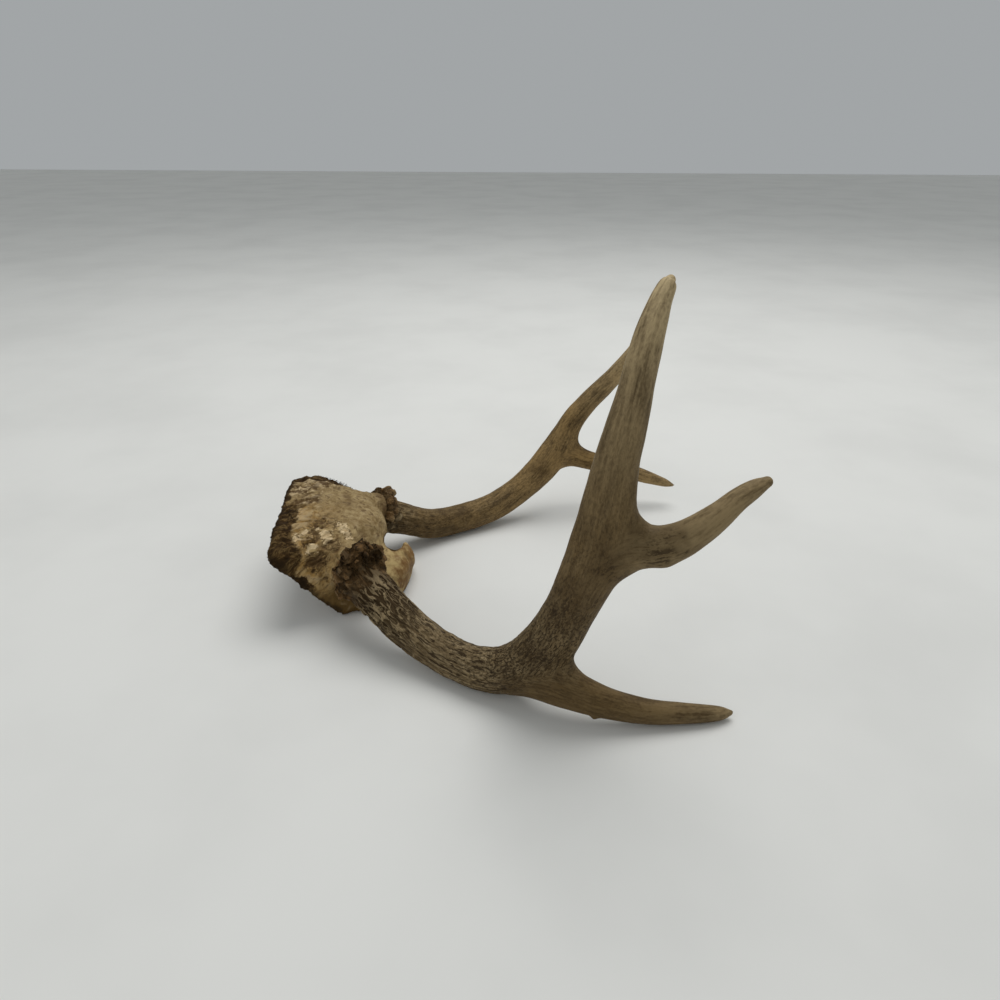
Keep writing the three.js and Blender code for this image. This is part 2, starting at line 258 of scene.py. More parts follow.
def soft_noise(points, seed):
    """Smooth noise from 0 to 1 whose lumps are about one unit across."""
    corner = np.floor(points).astype(np.int64)
    share = points - corner
    share = share * share * (3 - 2 * share)
    total = np.zeros(len(points))
    for step in np.ndindex(2, 2, 2):
        step = np.array(step)
        weight = np.prod(np.where(step, share, 1 - share), axis=1)
        total += weight * cell_number(corner + step, seed)
    return total


def layered_noise(points, seed, layers=2):
    total = np.zeros(len(points))
    for layer in range(layers):
        total += soft_noise(points * 2**layer, seed + LAYER_SEED_STEP * layer) / 2**layer
    return total / (2 - 2 ** (1 - layers))


def waves(points, size, seed, level=0.5):
    """Noise whose lumps are about this size, and how far it is over a level."""
    return layered_noise(points / size, seed) - level


def wandering(points, size, reach, seed):
    """The points, each shifted by smooth noise."""
    shift = np.stack([layered_noise(points / size, seed + i) for i in range(3)], axis=1)
    return points + reach * (2 * shift - 1)


def nearness(points, place, radius):
    """How near each point is to a place, from 0 to 1."""
    gap = np.linalg.norm(points - np.array(place), axis=1)
    return np.exp(-((gap / radius) ** 2))


def near_marks(points, marks):
    """How much each point belongs to the nearest of the marks, from 0 to 1."""
    most = np.zeros(len(points))
    for place, radius in marks:
        most = np.maximum(most, nearness(points, place, radius))
    return most


# ---------------------------------------------------------------- branches
# The rings that close a branch's tip: how far ahead, and how wide.
DOME = ((0.5, 0.86), (0.85, 0.5), (0.97, 0.2))


def unit(vectors):
    length = np.linalg.norm(vectors, axis=-1, keepdims=True)
    return vectors / np.maximum(length, 1e-9)


def direction(way):
    return unit(np.array(way, float))


class Branch:
    """A branch's centre line, with the oval section at each place along it."""

    PLACES_PER_ROW = 10
    PLACES_PER_RING = 3
    SPACING_REACH = 1.2
    THINNEST = 0.3
    LEAST_SLANT = 0.3

    def __init__(self, rows):
        rows = np.array(rows, float)
        rows = np.vstack([2 * rows[0] - rows[1], rows, 2 * rows[-1] - rows[-2]])
        samples = [
            self.between(*rows[i:i + 4], step / self.PLACES_PER_ROW)
            for i in range(len(rows) - 3)
            for step in range(self.PLACES_PER_ROW)
        ]
        samples = np.array(samples + [rows[-2]])
        self.centre = samples[:, :3]
        self.half_width = samples[:, 3]
        self.flatness = samples[:, 4]
        steps = np.linalg.norm(np.diff(self.centre, axis=0), axis=1)
        self.along = np.concatenate([[0], np.cumsum(steps)])
        self.forwards = unit(np.gradient(self.centre, axis=0))
        across = SIDEWAYS - (self.forwards @ SIDEWAYS)[:, None] * self.forwards
        self.thin = unit(across)
        self.wide = np.cross(self.forwards, self.thin)
        self.widening = np.gradient(self.half_width, self.along)

    @staticmethod
    def between(before, start, end, after, share):
        """The point that is `share` of the way along one span of a smooth curve."""
        rise = (end - before) / 2
        fall = (after - start) / 2
        square, cube = share**2, share**3
        return (
            (2 * cube - 3 * square + 1) * start
            + (cube - 2 * square + share) * rise
            + (3 * square - 2 * cube) * end
            + (cube - square) * fall
        )

    def measure(self, points):
        """Each point's height over the surface, the way out of it, and its place in the branch
        laid out straight: along, across the width and across the thickness."""
        gaps = (self.centre**2).sum(1) - 2 * points @ self.centre.T
        place = gaps.argmin(axis=1)
        offset = points - self.centre[place]
        ahead = (offset * self.forwards[place]).sum(1)
        spacing = (self.along[-1] / len(self.along)) * self.SPACING_REACH
        low = np.where(place == 0, 0, -spacing)
        high = np.where(place == len(self.along) - 1, 0, spacing)
        ahead = np.clip(ahead, low, high)
        offset = offset - ahead[:, None] * self.forwards[place]
        half_width = self.half_width[place] + ahead * self.widening[place]
        half_width = np.maximum(half_width, self.THINNEST)
        half_thickness = half_width * self.flatness[place]
        across = (offset * self.wide[place]).sum(1)
        through = (offset * self.thin[place]).sum(1)
        reach = np.linalg.norm(offset, axis=1)
        stretched = np.hypot(across / half_width, through / half_thickness)
        edge = np.hypot(across, through) / np.maximum(stretched, 1e-6)
        wide, thin = self.wide[place], self.thin[place]
        out = unit(
            (across / half_width**2)[:, None] * wide
            + (through / half_thickness**2)[:, None] * thin
            + (offset - across[:, None] * wide - through[:, None] * thin) / (half_width**2)[:, None]
        )
        slant = np.clip((out * unit(offset)).sum(1), self.LEAST_SLANT, 1)
        straight = np.stack([self.along[place] + ahead, across, through], axis=1)
        return (reach - edge) * slant, out, straight

    def tube(self, start=0.0, sides=20):
        """A closed tube of rings, from `start` along the branch to its tip."""
        last = len(self.along) - 1
        places = [i for i in range(0, last, self.PLACES_PER_RING) if self.along[i] >= start]
        turns = np.arange(sides) * 2 * math.pi / sides
        rings = []
        for i in places + [last]:
            wide = self.half_width[i] * self.wide[i]
            thin = self.half_width[i] * self.flatness[i] * self.thin[i]
            ring = self.centre[i] + np.outer(np.cos(turns), wide) + np.outer(np.sin(turns), thin)
            rings.append(ring)
        ahead = self.half_width[last] * self.forwards[last]
        end_ring = rings[-1] - self.centre[last]
        for lift, share in DOME:
            rings.append(self.centre[last] + lift * ahead + share * end_ring)
        points = np.vstack(rings)
        faces = []
        for ring in range(len(rings) - 1):
            for side in range(sides):
                a, b = ring * sides + side, ring * sides + (side + 1) % sides
                faces.append((a, b, b + sides, a + sides))
        faces.append(tuple(range(sides))[::-1])
        faces.append(tuple(range(len(points) - sides, len(points))))
        return points, faces


# The disc that a burr's skin starts from: how far it lies inside the burr.
DISC_INSET = 1
DISC_START = 0.8
DISC_THINNING = 1.5
# The collar under the lumps: how far it lies inside the burr, and how round its edge is.
COLLAR_INSET = 3.6
COLLAR_MARGIN = 0.7
COLLAR_ROUNDING = 3.2
# How unevenly the lumps lie: in turn, in size, outwards and along the antler.
LUMP_SEED = 5
LUMP_TURN = 0.4
LUMP_SIZES = (0.7, 1.35)
LUMP_SINK = 0.9
LUMP_OUT = 1.1
LUMP_ALONG = 1.6
LUMP_BLEND = 0.5
PARTING = 0.25


def burr_frame(burr):
    centre = np.array(burr["centre"], float)
    axis = direction(burr["axis"])
    level = unit(np.cross(axis, [0, 0, 1]))
    return centre, axis, level, np.cross(level, axis)


def round_burr(burr, steps, count):
    """The ways out from a burr's axis, at places round it of which `count` make a full turn."""
    _, _, level, upright = burr_frame(burr)
    turns = steps * 2 * math.pi / count
    return np.outer(burr["narrow"] * np.cos(turns), level) + np.outer(np.sin(turns), upright)


def raised_centre(burr):
    centre, _, _, upright = burr_frame(burr)
    return centre + burr["raise"] * upright


def burr_disc(burr, sides=32):
    axis = direction(burr["axis"])
    ring = (burr["radius"] - DISC_INSET) * round_burr(burr, np.arange(sides), sides)
    back = raised_centre(burr) + DISC_START * axis + ring
    front = back + (burr["thickness"] - DISC_THINNING) * axis
    faces = [(i, (i + 1) % sides, sides + (i + 1) % sides, sides + i) for i in range(sides)]
    faces += [tuple(range(sides))[::-1], tuple(range(sides, 2 * sides))]
    return np.vstack([back, front]), faces


def measure_burr(points, burr):
    """Each point's height over the burr's collar, and the way out of it."""
    centre, axis, level, upright = burr_frame(burr)
    half = burr["thickness"] / 2 - COLLAR_MARGIN
    offset = points - centre
    through = offset @ axis
    sideways = offset @ level / burr["narrow"]
    upwards = offset @ upright - burr["raise"]
    outwards = (sideways / burr["narrow"])[:, None] * level + upwards[:, None] * upright
    over_rim = np.hypot(sideways, upwards) - (burr["radius"] - COLLAR_INSET - COLLAR_ROUNDING)
    over_face = np.abs(through - half) - (half - COLLAR_ROUNDING)
    past = np.maximum(np.stack([over_rim, over_face], axis=1), 0)
    height = np.linalg.norm(past, axis=1) + np.minimum(np.maximum(over_rim, over_face), 0)
    inside = (past.sum(1) == 0)[:, None]
    lean = np.where(inside, np.stack([over_rim > over_face, over_rim <= over_face], axis=1), past)
    out = lean[:, :1] * unit(outwards) + lean[:, 1:] * np.sign(through - half)[:, None] * axis
    return height - COLLAR_ROUNDING, unit(out)


def burr_lumps(burr):
    """The lumps heaped round a burr: their centres, and their radii across and along the antler."""
    axis = direction(burr["axis"])
    chance = np.random.default_rng(LUMP_SEED)
    centres, radii = [], []
    for through, inset, count, size, length in burr["lumps"]:
        steps = np.arange(count) + chance.uniform(-LUMP_TURN, LUMP_TURN, count)
        sizes = size * chance.uniform(*LUMP_SIZES, count)
        out = burr["radius"] - inset - LUMP_SINK * sizes
        out = out + chance.uniform(-LUMP_OUT, LUMP_OUT, count)
        along = through + chance.uniform(-LUMP_ALONG, LUMP_ALONG, count)
        around = out[:, None] * round_burr(burr, steps, count)
        centres.append(raised_centre(burr) + around + along[:, None] * axis)
        radii.append(np.stack([sizes, sizes * length], axis=1))
    return np.vstack(centres), np.vstack(radii)


def measure_lumps(points, burr, lumps):
    """Height over the lumps, the way out of them, how deep each point is in a gap between them
    (where the material paints shade), and a tone for each lump."""
    centres, radii = lumps
    axis = direction(burr["axis"])
    offset = wandering(points, 4.0, 1.0, 41)[:, None, :] - centres[None]
    along = (offset @ axis)[..., None] * axis
    squeezed = offset - along * (1 - radii[:, :1] / radii[:, 1:])
    gap = np.linalg.norm(squeezed, axis=2) - radii[:, 0]
    order = np.sort(gap, axis=1)
    weight = np.exp(-(gap - order[:, :1]) / LUMP_BLEND)
    height = order[:, 0] - LUMP_BLEND * np.log(weight.sum(1))
    out = unit((weight[..., None] * unit(squeezed)).sum(1))
    tone = cell_number(gap.argmin(axis=1)[:, None] * np.ones(3, np.int64), 5)
    return height, out, smooth_step(1.6, 0.1, order[:, 1] - order[:, 0]), tone


def join(first, second, fillet):
    """Joins two surfaces with a fillet, which is slight where they run side by side."""
    height_1, out_1 = first
    height_2, out_2 = second
    width = fillet * np.clip(1 - (out_1 * out_2).sum(1), PARTING, 1)
    share = np.clip(0.5 + 0.5 * (height_2 - height_1) / width, 0, 1)
    height = height_2 + (height_1 - height_2) * share - width * share * (1 - share)
    return height, unit(out_2 + (out_1 - out_2) * share[:, None]), share


# ---------------------------------------------------------------- meshes
def added(name, data):
    """A new object in the scene."""
    made = bpy.data.objects.new(name, data)
    bpy.context.scene.collection.objects.link(made)
    return made


def modified(holder):
    """What an object's modifiers make of its mesh.  The object and its own mesh are removed."""
    depsgraph = bpy.context.evaluated_depsgraph_get()
    result = bpy.data.meshes.new_from_object(holder.evaluated_get(depsgraph))
    plain = holder.data
    bpy.data.objects.remove(holder)
    bpy.data.meshes.remove(plain)
    return result


def taken_apart(mesh):
    """A mesh's points and faces.  The mesh is removed."""
    points = np.zeros(len(mesh.vertices) * 3)
    mesh.vertices.foreach_get("co", points)
    faces = [tuple(face.vertices) for face in mesh.polygons]
    bpy.data.meshes.remove(mesh)
    return points.reshape(-1, 3), faces


def remeshed(points, faces, voxel):
    """The one outer skin of some closed shapes that run into each other."""
    rough = bpy.data.meshes.new("rough")
    rough.from_pydata(points.tolist(), [], faces)
    rough.update()
    holder = added("rough", rough)
    skin = holder.modifiers.new("Skin", "REMESH")
    skin.mode = "VOXEL"
    skin.voxel_size = voxel
    skin.adaptivity = 0
    return largest_part(*taken_apart(modified(holder)))


def largest_part(points, faces):
    """Drops every part of a mesh of four-sided faces that isn't joined to its largest one."""
    corners = np.array(faces)
    label, earlier = np.arange(len(points)), None
    while earlier is None or (label != earlier).any():
        earlier = label.copy()
        np.minimum.at(label, corners, label[corners].min(axis=1)[:, None])
        label = label[label]
    kept = label == np.bincount(label).argmax()
    renumbered = np.cumsum(kept) - 1
    faces = renumbered[corners[kept[corners[:, 0]]]]
    return points[kept], [tuple(face) for face in faces.tolist()]


def finished_piece(name, points, faces, material, marks):
    """A smooth-shaded object at the origin from points in millimetres, with attributes."""
    mesh = bpy.data.meshes.new(name)
    mesh.from_pydata((points * MM).tolist(), [], faces)
    mesh.update()
    mesh.shade_smooth()
    for label, values in marks.items():
        kind, slot = ("FLOAT", "value") if values.ndim == 1 else ("FLOAT_VECTOR", "vector")
        layer = mesh.attributes.new(label, kind, "POINT")
        layer.data.foreach_set(slot, values.astype(np.float32).ravel())
    mesh.materials.append(material)
    return added(name, mesh)


def settle(points, height_and_out, rounds=5, reach=3.0):
    """Moves points onto a surface, a step at a time."""
    for _ in range(rounds):
        height, out = height_and_out(points)
        points = points - np.clip(height, -reach, reach)[:, None] * out
    return points


def combined(shapes):
    points, faces = [], []
    count = 0
    for shape_points, shape_faces in shapes:
        points.append(shape_points)
        faces += [tuple(i + count for i in face) for face in shape_faces]
        count += len(shape_points)
    return np.vstack(points), faces


# ---------------------------------------------------------------- antlers
class Antler:
    """One antler: its beam, its tines and the burr at its foot."""

    FORK_FILLET = 13.0
    BURR_FILLET = 4.0
    LUMP_FILLET = 1.0
    LUMP_REACH = 16
    LUMP_FADE = 1.2

    def __init__(self, beam, tines, burr):
        self.beam = Branch(beam)
        self.tines = [Branch(rows) for rows in tines]
        self.burr = burr
        self.lumps = burr_lumps(burr)
        roots = [self.beam.measure(tine.centre[:1]) for tine in self.tines]
        self.tine_starts = [layout[0, 0] for _, _, layout in roots]

    def measure(self, points):
        """Height over the surface, the way out, the tine's share, both straight layouts, the gaps
        between the burr's lumps, where shade is painted, and the lumps' tones."""
        height, out, beam_layout = self.beam.measure(points)
        tine_layout = np.zeros_like(points)
        tine_share = np.zeros(len(points))
        surface = (height, out)
        for tine, start in zip(self.tines, self.tine_starts):
            tine_height, tine_out, layout = tine.measure(points)
            height, out, share = join((tine_height, tine_out), surface, self.FORK_FILLET)
            layout[:, 0] += start
            stronger = share > tine_share
            tine_layout[stronger] = layout[stronger]
            tine_share = np.maximum(tine_share * (1 - share), share)
            surface = (height, out)
        height, out, _ = join(measure_burr(points, self.burr), surface, self.BURR_FILLET)
        centre, axis, _, _ = burr_frame(self.burr)
        near = np.linalg.norm(points - centre, axis=1) < self.burr["radius"] + self.LUMP_REACH
        lump_height, lump_out, gap, tone = measure_lumps(points[near], self.burr, self.lumps)
        lumps, antler = (lump_height, lump_out), (height[near], out[near])
        height[near], out[near], share = join(lumps, antler, self.LUMP_FILLET)
        # The gaps mark the creases between the lumps and where they meet the antler, which the
        # material paints dark as shade.
        gaps, tones = np.zeros((2, len(points)))
        tones[near] = tone * smooth_step(self.LUMP_FADE, 0.2, lump_height)
        gaps[near] = np.maximum(gap, 1 - share) * smooth_step(self.LUMP_FADE, 0.4, lump_height)
        behind = -(points - centre) @ axis
        cut = behind > height
        height = np.where(cut, behind, height)
        out = np.where(cut[:, None], -axis, out)
        return height, out, tine_share, beam_layout, tine_layout, gaps, tones

    def skin(self, voxel):
        """Points spread evenly over the antler, and the faces between them."""
        shapes = [self.beam.tube(start=8), burr_disc(self.burr)]
        shapes += [tine.tube() for tine in self.tines]
        points, faces = combined(shapes)
        for size in (voxel * 2, voxel):
            points, faces = remeshed(points, faces, size)
            points = settle(points, lambda p: self.measure(p)[:2])
        return points, faces


def ridge_net(layout, seed):
    """Narrow ridges that run along the branch and join each other, 1 on them and 0 between."""
    level = layered_noise(wandering(layout, 6, 1.0, seed) / (10, 2.7, 2.7), seed + 3)
    return smooth_step(0.105, 0.02, np.abs(level - 0.5))


def gutters(layout, seed):
    """Long shallow furrows that run down the branch, from 0 to 1."""
    return layered_noise(wandering(layout, 20, 1.5, seed) / (26, 2.6, 2.6), seed + 5)


def crusted(points, burr):
    """How far a point is in the dark crust that spreads from the burr, from 0 to 1."""
    centre, axis, _, _ = burr_frame(burr)
    start, end = burr["crust"]
    near = smooth_step(end, start, (wandering(points, 5, 3, 9) - centre) @ axis)
    return near * (0.15 + 0.85 * smooth_step(*burr["pale_below"], points[:, 2]))


def weathered(antler, points, look, seed, stains, bumps, pits):
    """Adds the grown surface to an antler, and returns what its material reads."""
    _, out, tine_share, beam_layout, tine_layout, gaps, tones = antler.measure(points)
    along = beam_layout[:, 0] * (1 - tine_share) + tine_layout[:, 0] * tine_share
    total = antler.beam.along[-1]

    def both(pattern):
        on_beam = pattern(beam_layout, seed)
        on_tine = pattern(tine_layout, seed + 50)
        return on_beam * (1 - tine_share) + on_tine * tine_share

    def zone(label):
        return np.interp(along, look["along"], look[label]) * (1 - 0.75 * tine_share)

    furrow, net = both(gutters), both(ridge_net)
    fine = both(lambda layout, s: waves(layout, (5, 1.2, 1.2), s + 9))
    rough, dashed, flecked = zone("rough"), zone("dashed"), zone("flecked")
    rise = 0.8 * waves(points, 13, seed + 5) * (1 - 0.5 * tine_share)
    rise += (0.12 + 1.5 * rough + 0.5 * dashed) * (furrow - 0.5)
    rise += 1.0 * rough * (net - 0.5)
    rise += 0.2 * fine * (0.3 + dashed)
    for place, radius, lift in bumps:
        rise += lift * nearness(points, place, radius)
    # Each pit is painted dark as well: painted shade in the pit.
    dark = np.zeros(len(points))
    for place, radius, drop in pits:
        pit = nearness(points, place, radius)
        rise -= drop * pit
        dark = np.maximum(dark, pit)
    beam_tip = np.interp(along, (0.68 * total, 0.86 * total, total), (0, 0.4, 1.0))
    tine_tip = np.zeros(len(points))
    for tine, start in zip(antler.tines, antler.tine_starts):
        length = tine.along[-1]
        places = (0.4 * length, 0.8 * length, length)
        tip = np.interp(tine_layout[:, 0] - start, places, (0, 0.15, 0.35))
        tine_tip = np.maximum(tine_tip, tip)
    marks = {
        "beam_grain": beam_layout,
        "tine_grain": tine_layout,
        "tine_share": tine_share,
        "rough": rough,
        "dashed": dashed,
        "flecked": flecked,
        "furrow": furrow,
        "net": net,
        "dark": dark,
        "gaps": gaps,
        "tones": tones,
        "collar": crusted(points, antler.burr),
        "stain": near_marks(wandering(points, 5, 8, seed + 2), stains),
        "tip": beam_tip * (1 - tine_share) + tine_tip * tine_share,
    }
    return moved_out(points, rise, out), marks


def moved_out(points, rise, out):
    """The points moved outwards, though not below the floor."""
    points = points + rise[:, None] * out
    points[:, 2] = np.maximum(points[:, 2], LOWEST)
    return points


# How the surface changes along each antler: its rough gutters, its dashes and its flecks.
LEFT_LOOK = {
    "along": (0, 30, 50, 70, 90, 112, 130, 165, 200, 250, 334),
    "rough": (1.0, 1.0, 0.75, 0.3, 0.22, 0.2, 0.15, 0.08, 0.0, 0.0, 0.0),
    "dashed": (0.1, 0.2, 0.7, 1.0, 1.0, 0.95, 0.8, 0.45, 0.2, 0.12, 0.06),
    "flecked": (0.4, 0.4, 0.4, 0.4, 0.5, 0.9, 1.0, 0.9, 0.5, 0.25, 0.1),
}
RIGHT_LOOK = {
    "along": (0, 25, 45, 70, 100, 150, 200, 300),
    "rough": (0.7, 0.4, 0.2, 0.1, 0.05, 0.0, 0.0, 0.0),
    "dashed": (0.15, 0.2, 0.2, 0.15, 0.15, 0.15, 0.1, 0.05),
    "flecked": (0.3, 0.4, 0.45, 0.4, 0.4, 0.4, 0.25, 0.1),
}


def voxel_size(settings):
    return settings.fineness / MM * 1.0


def antler_piece(settings, name, branches, burr, look, seed, marks, tan):
    antler = Antler(branches[0], branches[1:], burr)
    points, faces = antler.skin(voxel_size(settings))
    points, values = weathered(antler, points, look, seed, *marks)
    material = antler_material(settings, name, tan, burr["crust_share"])
    return finished_piece(name, points, faces, material, values)


# ---------------------------------------------------------------- skull cap
def soft_min(a, b, width):
    share = np.clip(0.5 + 0.5 * (b - a) / width, 0, 1)
    return b + (a - b) * share - width * share * (1 - share)


def soft_max(a, b, width):
    return -soft_min(-a, -b, width)


BURRS = (LEFT_BURR, RIGHT_BURR)
VAULT_TABLE = np.array(VAULT, float)
VAULT_END_ROUNDING = 5.0
BRAINCASE_FILLET = 5
PEDICLE_FILLET = 7
HOLLOW_FILLET = 3
EDGE_ROUNDING = 1.2
SEAT_GAP = 0.2
SEAT_STEP = 0.7
LOBE_ROUNDING = 4
FLOOR_ROUNDING = 0.6
SAW_ROUNDING = 0.8


def vault_at(x):
    """The vault's half width, top, squareness and lean at places along it."""
    return [np.interp(x, VAULT_TABLE[:, 0], VAULT_TABLE[:, column]) for column in range(1, 5)]


def vault_height(points, shrink):
    """Height over the vault, or over its hollow when the vault is shrunk by its wall."""
    x = points[:, 0]
    half_width, top, squareness, lean = vault_at(x)
    half_width = half_width - shrink
    half_height = VAULT_DEPTH / 2 - shrink
    across = (SKULL_MIDDLE - points[:, 1]) / half_width
    up = (points[:, 2] - (top - VAULT_DEPTH / 2) + across * lean / 2) / half_height
    reach = (np.abs(across) ** squareness + np.abs(up) ** squareness) ** (1 / squareness)
    distance = np.hypot(across * half_width, up * half_height)
    side = distance * (1 - 1 / np.maximum(reach, 1e-6))
    back = x - (VAULT_TABLE[-1, 0] - shrink)
    return soft_max(side, back, VAULT_END_ROUNDING)


def braincase_height(points, shrink):
    half = np.array(BRAINCASE_HALF_SIZE) - shrink
    offset = points - np.array(BRAINCASE_CENTRE)
    reach = (np.abs(offset / half) ** BRAINCASE_SQUARENESS).sum(1) ** (1 / BRAINCASE_SQUARENESS)
    return np.linalg.norm(offset, axis=1) * (1 - 1 / np.maximum(reach, 1e-6))


def along_and_off(points, centre, axis):
    axis = direction(axis)
    offset = points - np.array(centre)
    along = offset @ axis
    return along, np.linalg.norm(offset - along[:, None] * axis, axis=1)


def pedicle_height(points, burr):
    along, off = along_and_off(points, burr["centre"], burr["axis"])
    radius = np.interp(along, (-PEDICLE_LENGTH, 0), (PEDICLE_ROOT_RADIUS, PEDICLE_RADIUS))
    return np.maximum(np.maximum(off - radius, along - 0.5), -PEDICLE_LENGTH - along)


def past_saw(points):
    return (points - np.array(SAW_POINT)) @ direction(SAW_AWAY)


def cap_height(points):
    """Height over the skull cap's surface, which is less than 0 inside the bone."""
    vault, braincase = vault_height(points, 0), braincase_height(points, 0)
    height = soft_min(vault, braincase, BRAINCASE_FILLET)
    for burr in BURRS:
        height = soft_min(height, pedicle_height(points, burr), PEDICLE_FILLET)
    vault, braincase = vault_height(points, VAULT_WALL), braincase_height(points, BRAINCASE_WALL)
    height = soft_max(height, -soft_min(vault, braincase, HOLLOW_FILLET), EDGE_ROUNDING)
    _, off = along_and_off(points, NOTCH_CENTRE, NOTCH_AXIS)
    height = soft_max(height, NOTCH_RADIUS - off, EDGE_ROUNDING)
    for burr in BURRS:
        along, off = along_and_off(points, burr["centre"], burr["axis"])
        step = SEAT_STEP * (off < PEDICLE_RADIUS)
        height = np.maximum(height, -np.maximum(off - burr["radius"], -SEAT_GAP - along + step))
    past_lobe = (points - np.array(LOBE_EDGE_POINT)) @ np.array(LOBE_EDGE_AWAY)
    height = soft_max(height, past_lobe, LOBE_ROUNDING)
    height = soft_max(height, FLOOR_CLEARANCE - points[:, 2], FLOOR_ROUNDING)
    return soft_max(height, past_saw(points), SAW_ROUNDING)


def cap_height_and_out(points, step=0.05):
    height = cap_height(points)
    slope = [(cap_height(points + step * axis) - height) / step for axis in np.eye(3)]
    slope = np.stack(slope, axis=1)
    steepness = np.maximum(np.linalg.norm(slope, axis=1), 0.35)
    return height / steepness, unit(slope)


FIBRE_WAY = (0.72, 0.34, 0.53)
STREAK_WAY = (0.8, -0.6, -0.1)
CHIP_WAY = (0.6, 0.6, 0.5)


def along_way(points, way, stretch):
    """Points squeezed along one direction, so that noise on them runs that way."""
    way = direction(way)
    return points - (points @ way)[:, None] * way * (1 - 1 / stretch)


def folded(points, seed):
    """Noise with sharp crests, from 0 to 1."""
    return 1 - np.abs(2 * layered_noise(points, seed) - 1)


def cap_skin(settings):
    """Points spread evenly over the cap, and the faces between them."""
    copy = bmesh.new()
    copy.from_mesh(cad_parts["skull_cap"].data)
    bmesh.ops.remove_doubles(copy, verts=copy.verts, dist=1e-6)
    welded = bpy.data.meshes.new("welded")
    copy.to_mesh(welded)
    copy.free()
    points, faces = taken_apart(welded)
    points, faces = remeshed(points / MM, faces, voxel_size(settings) * 1.1)
    return settle(points, cap_height_and_out, rounds=4, reach=1.5), faces


def skull_cap(settings):
    points, faces = cap_skin(settings)
    _, out = cap_height_and_out(points)
    moved = wandering(points, 7, 3.5, 1)
    depth = -np.minimum(vault_height(points, 0), braincase_height(points, 0))
    outside = smooth_step(1.5, 0.3, depth)
    from_saw = -past_saw(moved)

    # Where each kind of surface is, from 0 to 1.
    left = smooth_step(12, -10, moved[:, 1])
    low_side = smooth_step(46, 36, moved[:, 2]) * left
    band = np.maximum(smooth_step(15.5, 6, from_saw) * left, 0.6 * smooth_step(6, 1, from_saw))
    hide = band * (1 - low_side * smooth_step(3, 8, from_saw) * 0.9)
    flank = smooth_step(26, 34, moved[:, 1]) * smooth_step(40, 52, moved[:, 2])
    hide = np.maximum(hide * smooth_step(16, 34, points[:, 2]), 0.8 * flank) * outside
    olive = smooth_step(28, 14, moved[:, 2]) * outside * smooth_step(-20, -34, points[:, 1])
    stained = smooth_step(36, 12, from_saw) * smooth_step(10, -8, moved[:, 1])
    stained = stained * outside * (1 - 0.9 * olive)
    cream = near_marks(wandering(moved, 2.4, 2.6, 5), CREAM_MARKS) * outside
    mottled = near_marks(moved, MOTTLED_MARKS) * outside
    crevice = np.maximum(near_marks(moved, CREVICE_MARKS), cream) * outside
    # Painted shade on the cap round each burr, just behind where it sits.
    seat = np.zeros(len(points))
    for burr in BURRS:
        along, off = along_and_off(moved, burr["centre"], burr["axis"])
        near_axis = smooth_step(burr["radius"] + 4, burr["radius"] - 2, off)
        seat = np.maximum(seat, smooth_step(-7, -2, along) * near_axis)

    strand = along_way(moved, FIBRE_WAY, 3)
    chip = along_way(moved, CHIP_WAY, 3.0)
    streak = along_way(moved, STREAK_WAY, 3.5)
    folds = folded(strand / 4.5, 22)
    ledge = smooth_step(0.46, 0.54, layered_noise(chip / 2.4, 24))
    rise = 1.4 * waves(points, 10, 25) + 1.2 * waves(moved, 4, 29) * outside
    rise += 0.6 * waves(points, 1.9, 26)
    rise += 0.7 * waves(streak, 2.4, 23) * outside
    lumpy = 1.8 * (folds - 0.7) + 2.0 * waves(moved, 2.6, 31, 0.4)
    rise += hide * smooth_step(0, 5, from_saw) * lumpy
    rise += hide * 0.9 * waves(strand, 1.3, 21)
    rise += mottled * 2.6 * (folded(moved / 4.5, 35) - 0.6)
    rise += stained * 2.4 * (folded(chip / 3.6, 36) - 0.6) * smooth_step(1, 8, from_saw)
    rise += crevice * (1.6 * (ledge - 0.5) - 1.6 * folded(chip / 3.0, 32) ** 4)
    marks = {
        "strand": strand,
        "chip": chip,
        "streak": streak,
        "hide": hide,
        "folds": folds,
        "stained": stained,
        "cream": cream,
        "crevice": crevice,
        "mottled": mottled,
        # The material paints shade where the bone is pushed in and a highlight where it is raised.
        "rise": rise,
        # Painted light: the cap's lower left side, which faces down into shade, is painted a
        # lighter tan.
        "low": smooth_step(44, 36, points[:, 2]) * outside * left,
        "olive": olive,
        "lobe": smooth_step(-66, -58, points[:, 0]) * smooth_step(34, 26, points[:, 2]),
        "lobe_rim": smooth_step(-56.5, -52, moved[:, 0]) * smooth_step(2, 9, points[:, 2]),
        "outside": outside,
        "rim": smooth_step(3, 0.5, from_saw),
        "seat": seat * outside,
    }
    points = points + rise[:, None] * out
    ragged = smooth_step(4, 0.5, np.abs(past_saw(points)))
    bulge = near_marks(points, EDGE_BULGES)
    tear = 3.5 * bulge + 2.6 * waves(points, 6, 27, 0.6) + 2.2 * waves(points, 1.8, 28)
    points = moved_out(points, ragged * tear, direction(SAW_AWAY))
    return finished_piece("skull_cap_bone", points, faces, bone_material(settings), marks)


# ---------------------------------------------------------------- materials
class Wire:
    """A node's output.  An expression on wires adds its Math nodes."""

    def __init__(self, nodes, socket):
        self.nodes = nodes
        self.socket = socket

    def math(self, operation, first, second=0.0):
        return self.nodes.node("ShaderNodeMath", {0: first, 1: second}, operation=operation)

    def __add__(self, other):
        return self.math("ADD", self, other)

    def __sub__(self, other):
        return self.math("SUBTRACT", self, other)

    def __mul__(self, other):
        return self.math("MULTIPLY", self, other)

    def __truediv__(self, other):
        return self.math("DIVIDE", self, other)

    def __rsub__(self, other):
        return self.math("SUBTRACT", other, self)

    __radd__ = __add__
    __rmul__ = __mul__


